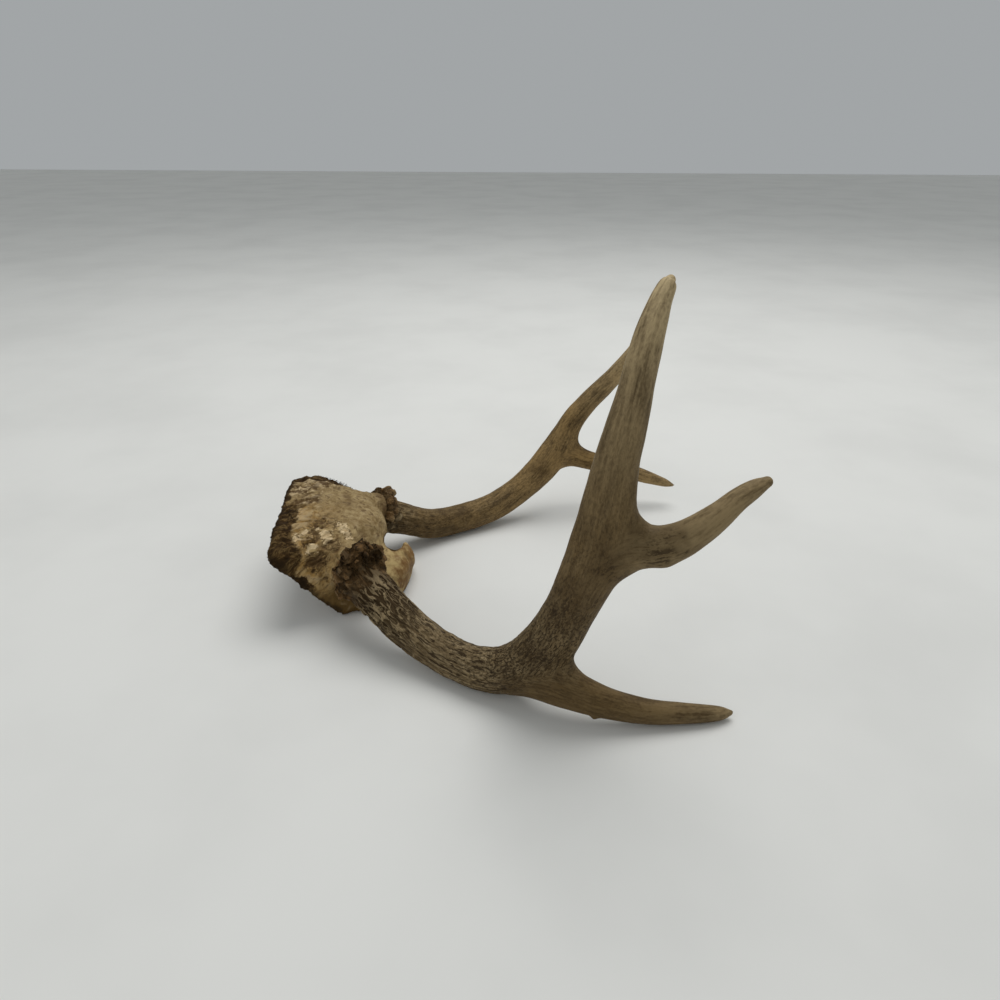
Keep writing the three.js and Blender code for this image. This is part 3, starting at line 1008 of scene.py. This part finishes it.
class Nodes:
    """A node tree, and the way to add to it."""

    def node(self, kind, inputs=None, output=0, **settings):
        made = self.tree.nodes.new(kind)
        for label, value in settings.items():
            setattr(made, label, value)
        for label, value in (inputs or {}).items():
            self.feed(made.inputs[label], value)
        return Wire(self, made.outputs[output]) if made.outputs else made

    def feed(self, socket, value):
        if isinstance(value, Wire):
            self.tree.links.new(value.socket, socket)
        else:
            socket.default_value = (*value, 1.0) if socket.type == "RGBA" else value

    def vector_math(self, operation, inputs):
        return self.node("ShaderNodeVectorMath", inputs, operation=operation)


class Recipe(Nodes):
    """A material and the nodes that make it."""

    def __init__(self, name):
        self.material = bpy.data.materials.new(name)
        self.material.use_nodes = True
        self.tree = self.material.node_tree
        self.shader = self.tree.nodes["Principled BSDF"]
        self.shader.inputs["Specular IOR Level"].default_value = 0.12

    def mark(self, label, output="Fac"):
        return self.node("ShaderNodeAttribute", output=output, attribute_name=label)

    def marks(self, labels):
        return [self.mark(label) for label in labels.split()]

    def place(self):
        return self.node("ShaderNodeTexCoord", output="Object")

    def squeezed(self, vector, scale):
        """A vector whose parts are each multiplied by their own scale."""
        return self.vector_math("MULTIPLY", {0: vector, 1: scale})

    def noise(self, vector, scale, detail, roughness=0.55, distortion=0.0):
        return self.node(
            "ShaderNodeTexNoise",
            {
                "Vector": vector, "Scale": scale, "Detail": detail, "Roughness": roughness,
                "Distortion": distortion,
            },
        )

    def step(self, low, high, value):
        inputs = {"Value": value, "From Min": low, "From Max": high}
        return self.node("ShaderNodeMapRange", inputs, interpolation_type="SMOOTHSTEP")

    def line(self, value, level, width):
        """A line along which the value is at this level: 1 on it and 0 beside it."""
        gap = value.math("ABSOLUTE", value - level)
        return self.step(width, 0.25 * width, gap)

    def greatest(self, first, second):
        return first.math("MAXIMUM", first, second)

    def blend(self, share, first, second):
        inputs = {0: share, 6: first, 7: second}
        return self.node("ShaderNodeMix", inputs, output=2, data_type="RGBA")

    def painted(self, colour, *coats):
        """A colour under coats, each of which is how much there is of it and its colour."""
        for share, coat in coats:
            colour = self.blend(share, colour, coat)
        return colour

    def mix(self, share, first, second):
        return self.node("ShaderNodeMix", {0: share, 2: first, 3: second}, data_type="FLOAT")

    def bump(self, height, distance, strength):
        inputs = {"Height": height, "Distance": distance, "Strength": strength}
        return self.node("ShaderNodeBump", inputs)

    def finish(self, colour, roughness, normal=None):
        self.feed(self.shader.inputs["Base Color"], colour)
        self.feed(self.shader.inputs["Roughness"], roughness)
        if normal is not None:
            self.feed(self.shader.inputs["Normal"], normal)
        return self.material


def antler_material(settings, name, tan, burr_dark):
    recipe = Recipe(name)
    step, blend = recipe.step, recipe.blend
    share = step(0.3, 0.7, recipe.mark("tine_share"))
    layouts = recipe.mark("beam_grain", "Vector"), recipe.mark("tine_grain", "Vector")
    rough, dashed, flecked, furrow, net, dark = recipe.marks("rough dashed flecked furrow net dark")
    gaps, tones, collar, stain, tip = recipe.marks("gaps tones collar stain tip")

    def grain(length, width, detail=2.0, distortion=0.0):
        """Noise whose patches are this long and this wide, in millimetres, along the branch."""
        scale = (1 / length, 1 / width, 1 / width)
        return recipe.mix(share, *(
            recipe.noise(recipe.squeezed(layout, scale), 1.0, detail, 0.6, distortion)
            for layout in layouts
        ))

    brown, deep, ridge = settings.antler_brown, settings.antler_deep, settings.ridge_grey
    cloud = grain(24, 9, 3.0)
    streak = grain(18, 1.5, 4.0, 0.3)
    hair = grain(7, 0.5)
    speckle = grain(1.9, 1.1, 3.0)
    hollow = grain(15, 3.8, 2.0, 0.7)
    dashes = step(0.53, 0.6, grain(7.0, 1.15, 2.0, 0.5)) * dashed
    flecks = step(0.5, 0.58, grain(1.8, 0.95, 2.0, 0.3)) * flecked
    veins = recipe.line(grain(22, 2.2, 2.0, 0.6), 0.5, 0.035) * flecked * step(0.4, 0.6, cloud)
    small_net = recipe.line(grain(10.0, 2.6, 1.5, 0.6), 0.49, 0.05)
    ridges = recipe.greatest(step(0.45, 0.9, net), small_net * 0.75)
    hollows = step(0.3, 0.7, (1 - ridges) * (0.6 + hollow)) * rough
    tone = 0.45 * cloud + 0.3 * streak + 0.25 * speckle
    worn = tip * step(0.28, 0.6, 0.4 * streak + 0.4 * cloud + 0.2 * speckle)
    stain_spots = step(0.45, 0.58, 0.5 * speckle + 0.5 * streak)
    crust = recipe.painted(
        blend(step(0.1, 0.6, 0.5 * tones + 0.8 * (hair - 0.25)), deep, settings.burr_brown),
        (step(0.5, 0.65, streak) * (0.8 - 0.7 * burr_dark), tan),
    )
    pale_lumps = step(0.3, 0.7, tones + 0.8 * (hair - 0.5)) * (1 - collar)
    colour = recipe.painted(
        blend(step(0.38, 0.6, tone), brown, tan),
        (worn, settings.antler_pale),
        ((0.25 + 0.55 * step(0.44, 0.6, streak)) * dashed, ridge),
        (0.22 * flecked, ridge),
        (ridges * rough * (0.8 - 0.35 * burr_dark * collar), ridge),
        (hollows * 0.9, deep),
        (dashes * 0.85, deep),
        (flecks * 0.8, deep),
        (veins * 0.6, deep),
        # Painted shade in the pits.
        (dark, deep),
        (stain * 0.45, brown),
        (stain * (0.05 + 0.8 * stain_spots), deep),
        (collar * burr_dark * (1 - 0.25 * ridges * rough), crust),
        (pale_lumps * 0.8, ridge),
        (step(0.45, 0.2, furrow) * rough * 0.5, deep),
        # Painted shade in the creases between the burr's lumps.
        (gaps * 0.7, deep),
    )
    roughness = 0.52 + 0.2 * hollows + 0.15 * (1 - streak)
    height = 0.3 * streak + 0.15 * hair + 0.9 * ridges * rough - 0.5 * dashes - 0.3 * flecks
    return recipe.finish(colour, roughness, recipe.bump(height, 0.6 * MM, 1.0))


def bone_material(settings):
    recipe = Recipe("cap_bone")
    step, blend, place = recipe.step, recipe.blend, recipe.place()
    hide, folds, stained, cream, crevice = recipe.marks("hide folds stained cream crevice")
    mottled, low, rise, olive, lobe = recipe.marks("mottled low rise olive lobe")
    lobe_rim, outside, rim, seat = recipe.marks("lobe_rim outside rim seat")
    shade, brown, cream_bone = settings.bone_shade, settings.bone_brown, settings.bone_cream
    cloud = recipe.noise(place, 90.0, 4.0)
    mottle = recipe.noise(place, 250.0, 4.0, 0.65)
    speck = recipe.noise(place, 700.0, 3.0, 0.6)
    streak = recipe.noise(recipe.mark("streak", "Vector"), 0.34, 3.0, 0.6, 0.6)
    chips = recipe.noise(recipe.mark("chip", "Vector"), 0.5, 3.0, 0.6, 0.8)
    strands = recipe.noise(recipe.mark("strand", "Vector"), 1.1, 3.0, 0.6, 0.5)
    blotch = step(0.4, 0.6, 0.35 * cloud + 0.25 * streak + 0.4 * mottle)
    lobe_tone = step(0.42, 0.62, 0.5 * mottle + 0.5 * cloud)
    lobe_bone = blend(lobe_tone, settings.bone_lobe, settings.lobe_brown)
    lumps = step(0.44, 0.56, 0.6 * mottle + 0.4 * cloud)
    mottled = step(0.15, 0.5, mottled)
    flakes = step(0.4, 0.72, cream + 1.6 * (chips - 0.5) + 1.2 * (mottle - 0.5))
    flakes = flakes * step(0.08, 0.3, cream)
    cracks = recipe.line(chips, 0.5, 0.05) * step(0.15, 0.5, crevice) * (1 - 0.7 * flakes)
    fold_tone = step(0.42, 0.74, 0.4 * strands + 0.4 * mottle + 0.2 * folds)
    tissue = recipe.painted(
        blend(fold_tone, settings.hide_dark, settings.hide_brown),
        (step(0.6, 0.74, 0.6 * strands + 0.4 * folds) * 0.55, settings.hide_pale),
    )
    cover = step(0.3, 0.55, hide + 0.9 * (mottle - 0.5) + 0.3 * (strands - 0.5))
    colour = recipe.painted(
        blend(blotch, shade, settings.bone_khaki),
        (step(0.46, 0.62, 0.6 * streak + 0.4 * cloud) * 0.75, shade),
        (step(0.52, 0.62, 0.7 * mottle + 0.3 * streak) * 0.7, brown),
        (step(0.58, 0.66, speck) * 0.35, brown),
        ((1 - outside) * 0.65, brown),
        # Painted light on the shaded lower left side of the cap.
        (low * step(0.35, 0.6, chips) * 0.8, settings.bone_low),
        (olive * 0.9, settings.bone_olive),
        (lobe * 0.9, lobe_bone),
        (lobe_rim * step(0.25, 0.5, mottle) * 0.8, settings.lobe_brown),
        (stained * step(0.35, 0.6, 0.5 * chips + 0.5 * mottle) * 0.85, settings.bone_amber),
        (stained * step(0.5, 0.62, strands) * 0.7, brown),
        (mottled * lumps * 0.9, settings.hide_brown),
        (mottled * step(0.46, 0.36, mottle) * 0.45, cream_bone),
        # Painted shade where the bone is pushed in, and a painted highlight where it is raised.
        (step(0.0, -0.9, rise) * 0.75, brown),
        (step(0.3, 1.3, rise) * 0.3, cream_bone),
        (cream * 0.7, settings.bone_low),
        (flakes * 0.8, cream_bone),
        # Painted shade round the burrs' seats.
        (seat * (0.35 + 0.5 * step(0.4, 0.6, mottle)), brown),
        (cracks * 0.8, brown),
        (cover, tissue),
        (rim * 0.75, settings.hide_dark),
    )
    height = 0.5 * speck + 0.5 * streak + 0.5 * mottle + 0.8 * strands * cover
    height = height + 0.5 * flakes - 0.6 * cracks
    roughness = 0.58 + 0.25 * cover + 0.1 * cloud
    return recipe.finish(colour, roughness, recipe.bump(height, 0.5 * MM, 0.9))


def pearl_material(name, dark, light):
    recipe = Recipe(name)
    place = recipe.place()
    cloud = recipe.noise(place, 260.0, 3.0)
    speck = recipe.noise(place, 900.0, 2.0)
    colour = recipe.blend(recipe.step(0.38, 0.72, cloud), dark, light)
    return recipe.finish(colour, 0.55 + 0.3 * speck, recipe.bump(speck, 0.3 * MM, 0.8))


def fibre_material(settings):
    recipe = Recipe("dried_hide")
    speck = recipe.noise(recipe.place(), 400.0, 2.0)
    colour = recipe.blend(recipe.step(0.35, 0.7, speck), settings.hide_dark, settings.hide_brown)
    return recipe.finish(colour, 0.75 + 0.1 * speck)


def floor_material(colour):
    recipe = Recipe("floor")
    mottle = recipe.noise(recipe.place(), 6.0, 4.0)
    darker = tuple(0.93 * part for part in colour)
    return recipe.finish(recipe.blend(recipe.step(0.35, 0.75, mottle), colour, darker), 0.7)


# ---------------------------------------------------------------- things that repeat
class Sprouts(Nodes):
    """A Geometry Nodes tree, and the plain mesh that it makes on a piece."""

    def __init__(self, name, material, **inputs):
        self.tree = bpy.data.node_groups.new(name, "GeometryNodeTree")
        self.material = material
        self.sockets = {}
        self.add_socket("Geometry", "NodeSocketGeometry", "INPUT")
        self.add_socket("Geometry", "NodeSocketGeometry", "OUTPUT")
        for label, default in inputs.items():
            kind = "NodeSocketInt" if isinstance(default, int) else "NodeSocketFloat"
            socket = self.add_socket(label, kind, "INPUT")
            socket.default_value = default
            self.sockets[label] = socket.identifier
        self.start = self.tree.nodes.new("NodeGroupInput")

    def add_socket(self, label, kind, side):
        return self.tree.interface.new_socket(label, in_out=side, socket_type=kind)

    def given(self, label):
        return Wire(self, self.start.outputs[label])

    def even(self, value):
        """A vector whose three parts are all this value."""
        return self.node("ShaderNodeCombineXYZ", {"X": value, "Y": value, "Z": value})

    def chance(self, low, high):
        """A random vector between two others for each thing."""
        inputs = {0: low, 1: high, "Seed": self.given("Seed")}
        return self.node("FunctionNodeRandomValue", inputs, data_type="FLOAT_VECTOR")

    def shifted(self, geometry, offset):
        inputs = {"Geometry": geometry, "Offset": offset}
        return self.node("GeometryNodeSetPosition", inputs)

    def real(self, geometry):
        return self.node("GeometryNodeRealizeInstances", {"Geometry": geometry})

    def strewn(self, instance, turn, scale):
        """Things spread along the line that the tree is given, each a little off it."""
        line = self.node("GeometryNodeMeshToCurve", {"Mesh": self.given("Geometry")})
        along = {"Curve": line, "Count": self.given("Count")}
        spots = self.node("GeometryNodeResampleCurve", along)
        scatter = self.given("Scatter")
        least = self.even(scatter * -1.0)
        spots = self.shifted(spots, self.chance(least, self.even(scatter)))
        return self.node(
            "GeometryNodeInstanceOnPoints",
            {"Points": spots, "Instance": instance, "Rotation": turn, "Scale": scale},
        )

    def end(self, geometry):
        smooth = self.node("GeometryNodeSetShadeSmooth", {"Geometry": self.real(geometry)})
        inputs = {"Geometry": smooth, "Material": self.material}
        done = self.node("GeometryNodeSetMaterial", inputs)
        self.node("NodeGroupOutput", {"Geometry": done})
        return self

    def grown(self, name, mesh, values):
        """Runs the tree on a mesh with the given input values and keeps the result."""
        seedbed = added(name + "_seedbed", mesh)
        modifier = seedbed.modifiers.new(name, "NODES")
        modifier.node_group = self.tree
        for label, value in values.items():
            modifier[self.sockets[label]] = value
        result = modified(seedbed)
        result.name = name
        result.materials.clear()
        result.materials.append(self.material)
        return added(name, result)


def loop_mesh(name, points, ways=None, closed=True):
    """A line of edges through points in millimetres, with a way out of it at each if given."""
    mesh = bpy.data.meshes.new(name)
    count = len(points)
    edges = [(i, (i + 1) % count) for i in range(count if closed else count - 1)]
    mesh.from_pydata((np.array(points) * MM).tolist(), edges, [])
    if ways is not None:
        layer = mesh.attributes.new("way_out", "FLOAT_VECTOR", "POINT")
        layer.data.foreach_set("vector", np.array(ways, np.float32).ravel())
    return mesh


FULL_TURN = (6.28, 6.28, 6.28)
WOBBLE_SCALE = 420.0
WOBBLE_REACH = 0.0022


def pearl_tree(material):
    """Lumpy pearls of uneven size, strung along a line."""
    tree = Sprouts(
        "Burr Pearls", material, Count=40, Smallest=0.001, Largest=0.003, Scatter=0.001, Seed=1
    )
    pearl = tree.node("GeometryNodeMeshIcoSphere", {"Radius": 1.0, "Subdivisions": 2})
    size = tree.chance(tree.even(tree.given("Smallest")), tree.even(tree.given("Largest")))
    pearls = tree.real(tree.strewn(pearl, tree.chance((0, 0, 0), FULL_TURN), size))
    place = tree.node("GeometryNodeInputPosition")
    inputs = {"Vector": place, "Scale": WOBBLE_SCALE, "Detail": 2.0}
    wobble = tree.node("ShaderNodeTexNoise", inputs, output="Color")
    centred = tree.vector_math("SUBTRACT", {0: wobble, 1: (0.5, 0.5, 0.5)})
    push = tree.vector_math("SCALE", {0: centred, "Scale": WOBBLE_REACH})
    return tree.end(tree.shifted(pearls, push))


def burr_ring(burr, through, inset, seed, count=72):
    """An uneven ring of points round a burr, none of which stands off it."""
    ring = round_burr(burr, np.arange(count), count)
    radius = burr["radius"] - inset + 2.2 * (soft_noise(ring * 2.5 + seed, seed) - 0.5)
    ring = raised_centre(burr) + through * direction(burr["axis"]) + radius[:, None] * ring
    lumps = burr_lumps(burr)

    def over_burr(points):
        on_lumps = measure_lumps(points, burr, lumps)[:2]
        height, out, _ = join(on_lumps, measure_burr(points, burr), Antler.LUMP_FILLET)
        return np.maximum(height, 0), out

    return settle(ring, over_burr, rounds=3)


PEARL_SCATTER = 0.9 * MM


def burr_pearls(name, burr, tree, seed, sizes):
    rings = []
    for i, (through, inset, count) in enumerate(burr["pearls"]):
        line = loop_mesh("ring", burr_ring(burr, through, inset, seed + i))
        rings.append(tree.grown(f"{name}_{i}", line, {
            "Count": count, "Smallest": sizes.smallest, "Largest": sizes.largest,
            "Scatter": PEARL_SCATTER, "Seed": seed + i,
        }))
    return merged(name, rings)


def merged(name, parts):
    """One object from several, all at the origin and of one material."""
    whole = bmesh.new()
    material = parts[0].data.materials[0]
    for part in parts:
        whole.from_mesh(part.data)
        old = part.data
        bpy.data.objects.remove(part)
        bpy.data.meshes.remove(old)
    mesh = bpy.data.meshes.new(name)
    whole.to_mesh(mesh)
    whole.free()
    mesh.materials.append(material)
    mesh.shade_smooth()
    return added(name, mesh)


FIBRE_BEND = {"Start": (0, 0, -0.15), "Middle": (0.1, 0, 0.5), "End": (0.45, 0, 1.0)}
FIBRE_LEAN = 0.75
FIBRE_TAPER = -0.85
SHORTEST_FIBRE = 0.35


def fibre_tree(material):
    """Short bent fibres that stand out from a line."""
    tree = Sprouts(
        "Dried Fibres", material, Count=200, Length=0.003, Thickness=0.0002, Scatter=0.001, Seed=1
    )
    bend = tree.node("GeometryNodeCurveQuadraticBezier", {"Resolution": 4, **FIBRE_BEND})
    along = tree.node("GeometryNodeSplineParameter", output="Factor")
    taper = along * FIBRE_TAPER + 1.0
    bend = tree.node("GeometryNodeSetCurveRadius", {"Curve": bend, "Radius": taper})
    thickness = tree.given("Thickness") / tree.given("Length")
    inputs = {"Resolution": 4, "Radius": thickness}
    ring = tree.node("GeometryNodeCurvePrimitiveCircle", inputs)
    inputs = {"Curve": bend, "Profile Curve": ring, "Fill Caps": True}
    strand = tree.node("GeometryNodeCurveToMesh", inputs)
    inputs = {"Name": "way_out"}
    way = tree.node("GeometryNodeInputNamedAttribute", inputs, data_type="FLOAT_VECTOR")
    lean = tree.chance((-FIBRE_LEAN,) * 3, (FIBRE_LEAN,) * 3)
    way = tree.vector_math("ADD", {0: way, 1: lean})
    turn = tree.node("FunctionNodeAlignRotationToVector", {"Vector": way}, axis="Z")
    inputs = {2: SHORTEST_FIBRE, 3: 1.0, "Seed": tree.given("Seed")}
    size = tree.node("FunctionNodeRandomValue", inputs, output=1, data_type="FLOAT")
    length = size * tree.given("Length")
    return tree.end(tree.strewn(strand, turn, tree.even(length)))


WIDEST = 0.995


def vault_top(x, y):
    """The height of the vault's top over one place."""
    half_width, top, squareness, lean = vault_at(x)
    across = (SKULL_MIDDLE - y) / half_width
    middle = top - VAULT_DEPTH / 2 - across * lean / 2
    share = (1 - min(abs(across), WIDEST) ** squareness) ** (1 / squareness)
    return middle + VAULT_DEPTH / 2 * share


FLANK_ENDS = (-121, -89)
FLANK_SHARE = 0.83
FLANK_WAY = (-0.1, 0.45, 0.9)
FIBRE_SINK = 0.8


def flank_line(count):
    """Points along the right shoulder of the vault, where a fringe of hide is left."""
    points = []
    for x in np.linspace(*FLANK_ENDS, count):
        y = SKULL_MIDDLE + FLANK_SHARE * vault_at(x)[0]
        points.append((x, y, vault_top(x, y) - FIBRE_SINK))
    return np.array(points), np.tile(FLANK_WAY, (count, 1))


# ---------------------------------------------------------------- settings
def colour_property(name, description, default):
    return FloatVectorProperty(
        name=name, description=description, default=default, subtype="COLOR", size=3, min=0, max=1
    )


class AntlerSettings(bpy.types.PropertyGroup):
    """Sizes and colours of the antlers and the skull cap."""

    fineness: FloatProperty(
        name="Fineness", description="Spacing of the points on the surface",
        default=0.68 * MM, unit="LENGTH", min=0.4 * MM,
    )
    antler_brown: colour_property("Antler Brown", "Darker tone of the beams", (0.058, 0.032, 0.009))
    antler_tan: colour_property("Antler Tan", "Lighter tone of the beams", (0.13, 0.079, 0.027))
    far_tan: colour_property("Right Tan", "Lighter tone of the right antler", (0.29, 0.183, 0.068))
    burr_brown: colour_property("Burr Brown", "Crusted lumps of the burrs", (0.2, 0.11, 0.042))
    # Also the colour of the painted shade in the pits and in the creases between the burr's lumps.
    antler_deep: colour_property("Gutter Brown", "Gutters and stains", (0.026, 0.0135, 0.0035))
    antler_pale: colour_property("Tip Cream", "Rubbed tips of the tines", (0.58, 0.45, 0.25))
    ridge_grey: colour_property("Ridge Grey", "Dry ridges near the burrs", (0.34, 0.255, 0.14))
    bone_khaki: colour_property("Bone Khaki", "Clean bone of the forehead", (0.48, 0.36, 0.18))
    bone_shade: colour_property("Bone Shade", "Duller patches of the bone", (0.2, 0.13, 0.05))
    # Also the painted shade in the sunken bone and round the burrs' seats.
    bone_brown: colour_property("Bone Brown", "Crevices and the inside", (0.09, 0.047, 0.017))
    bone_olive: colour_property("Bone Olive", "Bone of the lower rim", (0.105, 0.055, 0.0095))
    bone_amber: colour_property("Bone Amber", "Thin bone behind the antlers", (0.3, 0.17, 0.045))
    bone_lobe: colour_property("Bone Lobe", "Thin bone of the lobe", (0.47, 0.345, 0.15))
    lobe_brown: colour_property("Lobe Brown", "Reddish edge of the lobe", (0.17, 0.085, 0.026))
    # Also the painted light on the cap's lower left side.
    bone_low: colour_property("Bone Tan", "Bone of the left side", (0.62, 0.45, 0.21))
    # Also the painted highlight on the raised bone.
    bone_cream: colour_property("Bone Cream", "Flaked patches", (0.76, 0.59, 0.355))
    hide_dark: colour_property("Hide Dark", "Shaded folds of dried hide", (0.02, 0.0105, 0.003))
    hide_brown: colour_property("Hide Brown", "Raised folds of the hide", (0.066, 0.032, 0.008))
    hide_pale: colour_property("Hide Pale", "Bare strands of dried hide", (0.2, 0.13, 0.05))


class BurrSettings(bpy.types.PropertyGroup):
    """Pearls of the burrs and fibres of the dried hide."""

    smallest: FloatProperty(
        name="Smallest Pearl", description="Radius of the smallest pearl",
        default=0.7 * MM, unit="LENGTH",
    )
    largest: FloatProperty(
        name="Largest Pearl", description="Radius of the largest pearl",
        default=1.6 * MM, unit="LENGTH",
    )
    fibres: IntProperty(
        name="Fibres", description="Fibres along the cap's right shoulder",
        default=260, min=0, subtype="UNSIGNED",
    )
    fibre_length: FloatProperty(
        name="Fibre Length", description="Length of the longest fibre",
        default=1.5 * MM, unit="LENGTH",
    )


class StageSettings(bpy.types.PropertyGroup):
    """The floor, the lights and the camera."""

    floor_colour: colour_property("Floor", "Colour of the floor", (0.79, 0.785, 0.75))
    key_power: FloatProperty(
        name="Key Light", description="Power of the main soft light", default=10.5, unit="POWER"
    )
    fill_power: FloatProperty(
        name="Fill Light", description="Power of the fill light", default=2.5, unit="POWER"
    )
    surroundings: FloatProperty(
        name="Surroundings", description="Light from all round", default=0.42, subtype="FACTOR"
    )
    lens: FloatProperty(
        name="Lens", description="Focal length on a 36 mm sensor", default=27.04, unit="CAMERA"
    )


# ---------------------------------------------------------------- operators
def install(piece, slot, *nodes):
    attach(piece, BODY)
    if nodes:
        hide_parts(*nodes)


class ANTLERS_OT_left(bpy.types.Operator):
    """Builds the left antler, with its two tines"""

    bl_idname = "antlers.left"
    bl_label = "Left Antler"

    def execute(self, context):
        settings = context.scene.antlers
        branches = (LEFT_BEAM, LEFT_FIRST_TINE, LEFT_SECOND_TINE)
        marks = (LEFT_STAINS, LEFT_BUMPS, LEFT_PITS)
        piece = antler_piece(
            settings, "left_antler", branches, LEFT_BURR, LEFT_LOOK, 11, marks, settings.antler_tan
        )
        install(
            piece, "antler", "left_beam_base", "left_first_tine", "left_beam_middle",
            "left_second_tine", "left_beam_tip",
        )
        return {"FINISHED"}


class ANTLERS_OT_right(bpy.types.Operator):
    """Builds the right antler, with its one tine"""

    bl_idname = "antlers.right"
    bl_label = "Right Antler"

    def execute(self, context):
        settings = context.scene.antlers
        branches = (RIGHT_BEAM, RIGHT_FIRST_TINE)
        marks = (RIGHT_STAINS, RIGHT_BUMPS, RIGHT_PITS)
        piece = antler_piece(
            settings, "right_antler", branches, RIGHT_BURR, RIGHT_LOOK, 31, marks, settings.far_tan
        )
        install(piece, "antler", "right_beam_base", "right_first_tine", "right_beam_tip")
        return {"FINISHED"}


class ANTLERS_OT_skull_cap(bpy.types.Operator):
    """Builds the sawn skull cap"""

    bl_idname = "antlers.skull_cap"
    bl_label = "Skull Cap"

    def execute(self, context):
        install(skull_cap(context.scene.antlers), "skull_bone", "skull_cap")
        return {"FINISHED"}


class ANTLERS_OT_burr_pearls(bpy.types.Operator):
    """Sets pearls round both burrs"""

    bl_idname = "antlers.burr_pearls"
    bl_label = "Burr Pearls"

    def execute(self, context):
        sizes, colours = context.scene.burrs, context.scene.antlers
        left = pearl_tree(pearl_material("left_pearls", colours.antler_deep, colours.burr_brown))
        right = pearl_tree(pearl_material("right_pearls", colours.antler_brown, colours.burr_brown))
        install(burr_pearls("left_burr_pearls", LEFT_BURR, left, 3, sizes), "antler")
        install(burr_pearls("right_burr_pearls", RIGHT_BURR, right, 7, sizes), "antler")
        return {"FINISHED"}


class ANTLERS_OT_dried_hide(bpy.types.Operator):
    """Grows the fibres of dried hide along the skull cap's right shoulder"""

    bl_idname = "antlers.dried_hide"
    bl_label = "Dried Hide"

    def execute(self, context):
        sizes = context.scene.burrs
        tree = fibre_tree(fibre_material(context.scene.antlers))
        line = loop_mesh("flank", *flank_line(30), closed=False)
        piece = tree.grown("hide_fibres", line, {
            "Count": sizes.fibres, "Length": sizes.fibre_length, "Thickness": 0.11 * MM,
            "Scatter": 1.0 * MM, "Seed": 5,
        })
        install(piece, "skull_bone")
        return {"FINISHED"}


FLOOR_HALF_WIDTH = 4.0
LIGHT_SIZE = 1.2
LIGHT_TARGET = (0, 0, 0.05)


class ANTLERS_OT_stage(bpy.types.Operator):
    """Lays the floor and sets the lights and the camera"""

    bl_idname = "antlers.stage"
    bl_label = "Stage"

    def execute(self, context):
        stage = context.scene.stage
        floor_mesh = bpy.data.meshes.new("floor")
        corners = [(-1, -1, 0), (1, -1, 0), (1, 1, 0), (-1, 1, 0)]
        corners = [tuple(FLOOR_HALF_WIDTH * part for part in corner) for corner in corners]
        floor_mesh.from_pydata(corners, [], [(0, 1, 2, 3)])
        floor_mesh.materials.append(floor_material(stage.floor_colour))
        floor = added("floor", floor_mesh)
        add_light("key", (0.15, 0.45, 1.3), stage.key_power)
        add_light("fill", (-0.9, -0.9, 0.9), stage.fill_power)
        world = bpy.data.worlds.new("surroundings")
        world.use_nodes = True
        background = world.node_tree.nodes["Background"]
        background.inputs["Color"].default_value = (0.86, 0.9, 0.92, 1)
        background.inputs["Strength"].default_value = stage.surroundings
        context.scene.world = world
        context.scene.view_settings.view_transform = "Standard"
        lens = bpy.data.cameras.new("camera")
        lens.lens = stage.lens
        lens.sensor_width = 36
        lens.clip_start = 0.01
        camera = added("camera", lens)
        camera.location = (0.041, -0.3953, 0.264)
        camera.rotation_euler = (math.radians(63), 0, math.radians(5.1))
        context.scene.camera = camera
        return {"FINISHED"}


def add_light(name, place, power):
    """A round soft light that points at the middle of the antlers."""
    lamp = bpy.data.lights.new(name, "AREA")
    lamp.shape = "DISK"
    lamp.size = LIGHT_SIZE
    lamp.energy = power
    light = added(name, lamp)
    light.location = place
    towards = Vector(LIGHT_TARGET) - Vector(place)
    light.rotation_euler = towards.to_track_quat("-Z", "Y").to_euler()


class ANTLERS_PT_panel(bpy.types.Panel):
    """Lists the pieces and their settings"""

    bl_idname = "ANTLERS_PT_panel"
    bl_label = "Deer Antlers"
    bl_space_type = "VIEW_3D"
    bl_region_type = "UI"
    bl_category = "Antlers"

    def draw(self, context):
        for settings in (context.scene.antlers, context.scene.burrs, context.scene.stage):
            box = self.layout.box()
            for label in settings.__annotations__:
                box.prop(settings, label)
        for operator in OPERATORS:
            self.layout.operator(operator.bl_idname)


OPERATORS = (
    ANTLERS_OT_left,
    ANTLERS_OT_right,
    ANTLERS_OT_skull_cap,
    ANTLERS_OT_burr_pearls,
    ANTLERS_OT_dried_hide,
    ANTLERS_OT_stage,
)
CLASSES = (AntlerSettings, BurrSettings, StageSettings, *OPERATORS, ANTLERS_PT_panel)


def register():
    for each in CLASSES:
        bpy.utils.register_class(each)
    bpy.types.Scene.antlers = PointerProperty(type=AntlerSettings)
    bpy.types.Scene.burrs = PointerProperty(type=BurrSettings)
    bpy.types.Scene.stage = PointerProperty(type=StageSettings)


def unregister():
    del bpy.types.Scene.stage
    del bpy.types.Scene.burrs
    del bpy.types.Scene.antlers
    for each in reversed(CLASSES):
        bpy.utils.unregister_class(each)


def main():
    register()
    bpy.ops.antlers.left()
    bpy.ops.antlers.right()
    bpy.ops.antlers.skull_cap()
    bpy.ops.antlers.burr_pearls()
    bpy.ops.antlers.dried_hide()
    bpy.ops.antlers.stage()


if __name__ == "__main__":
    main()
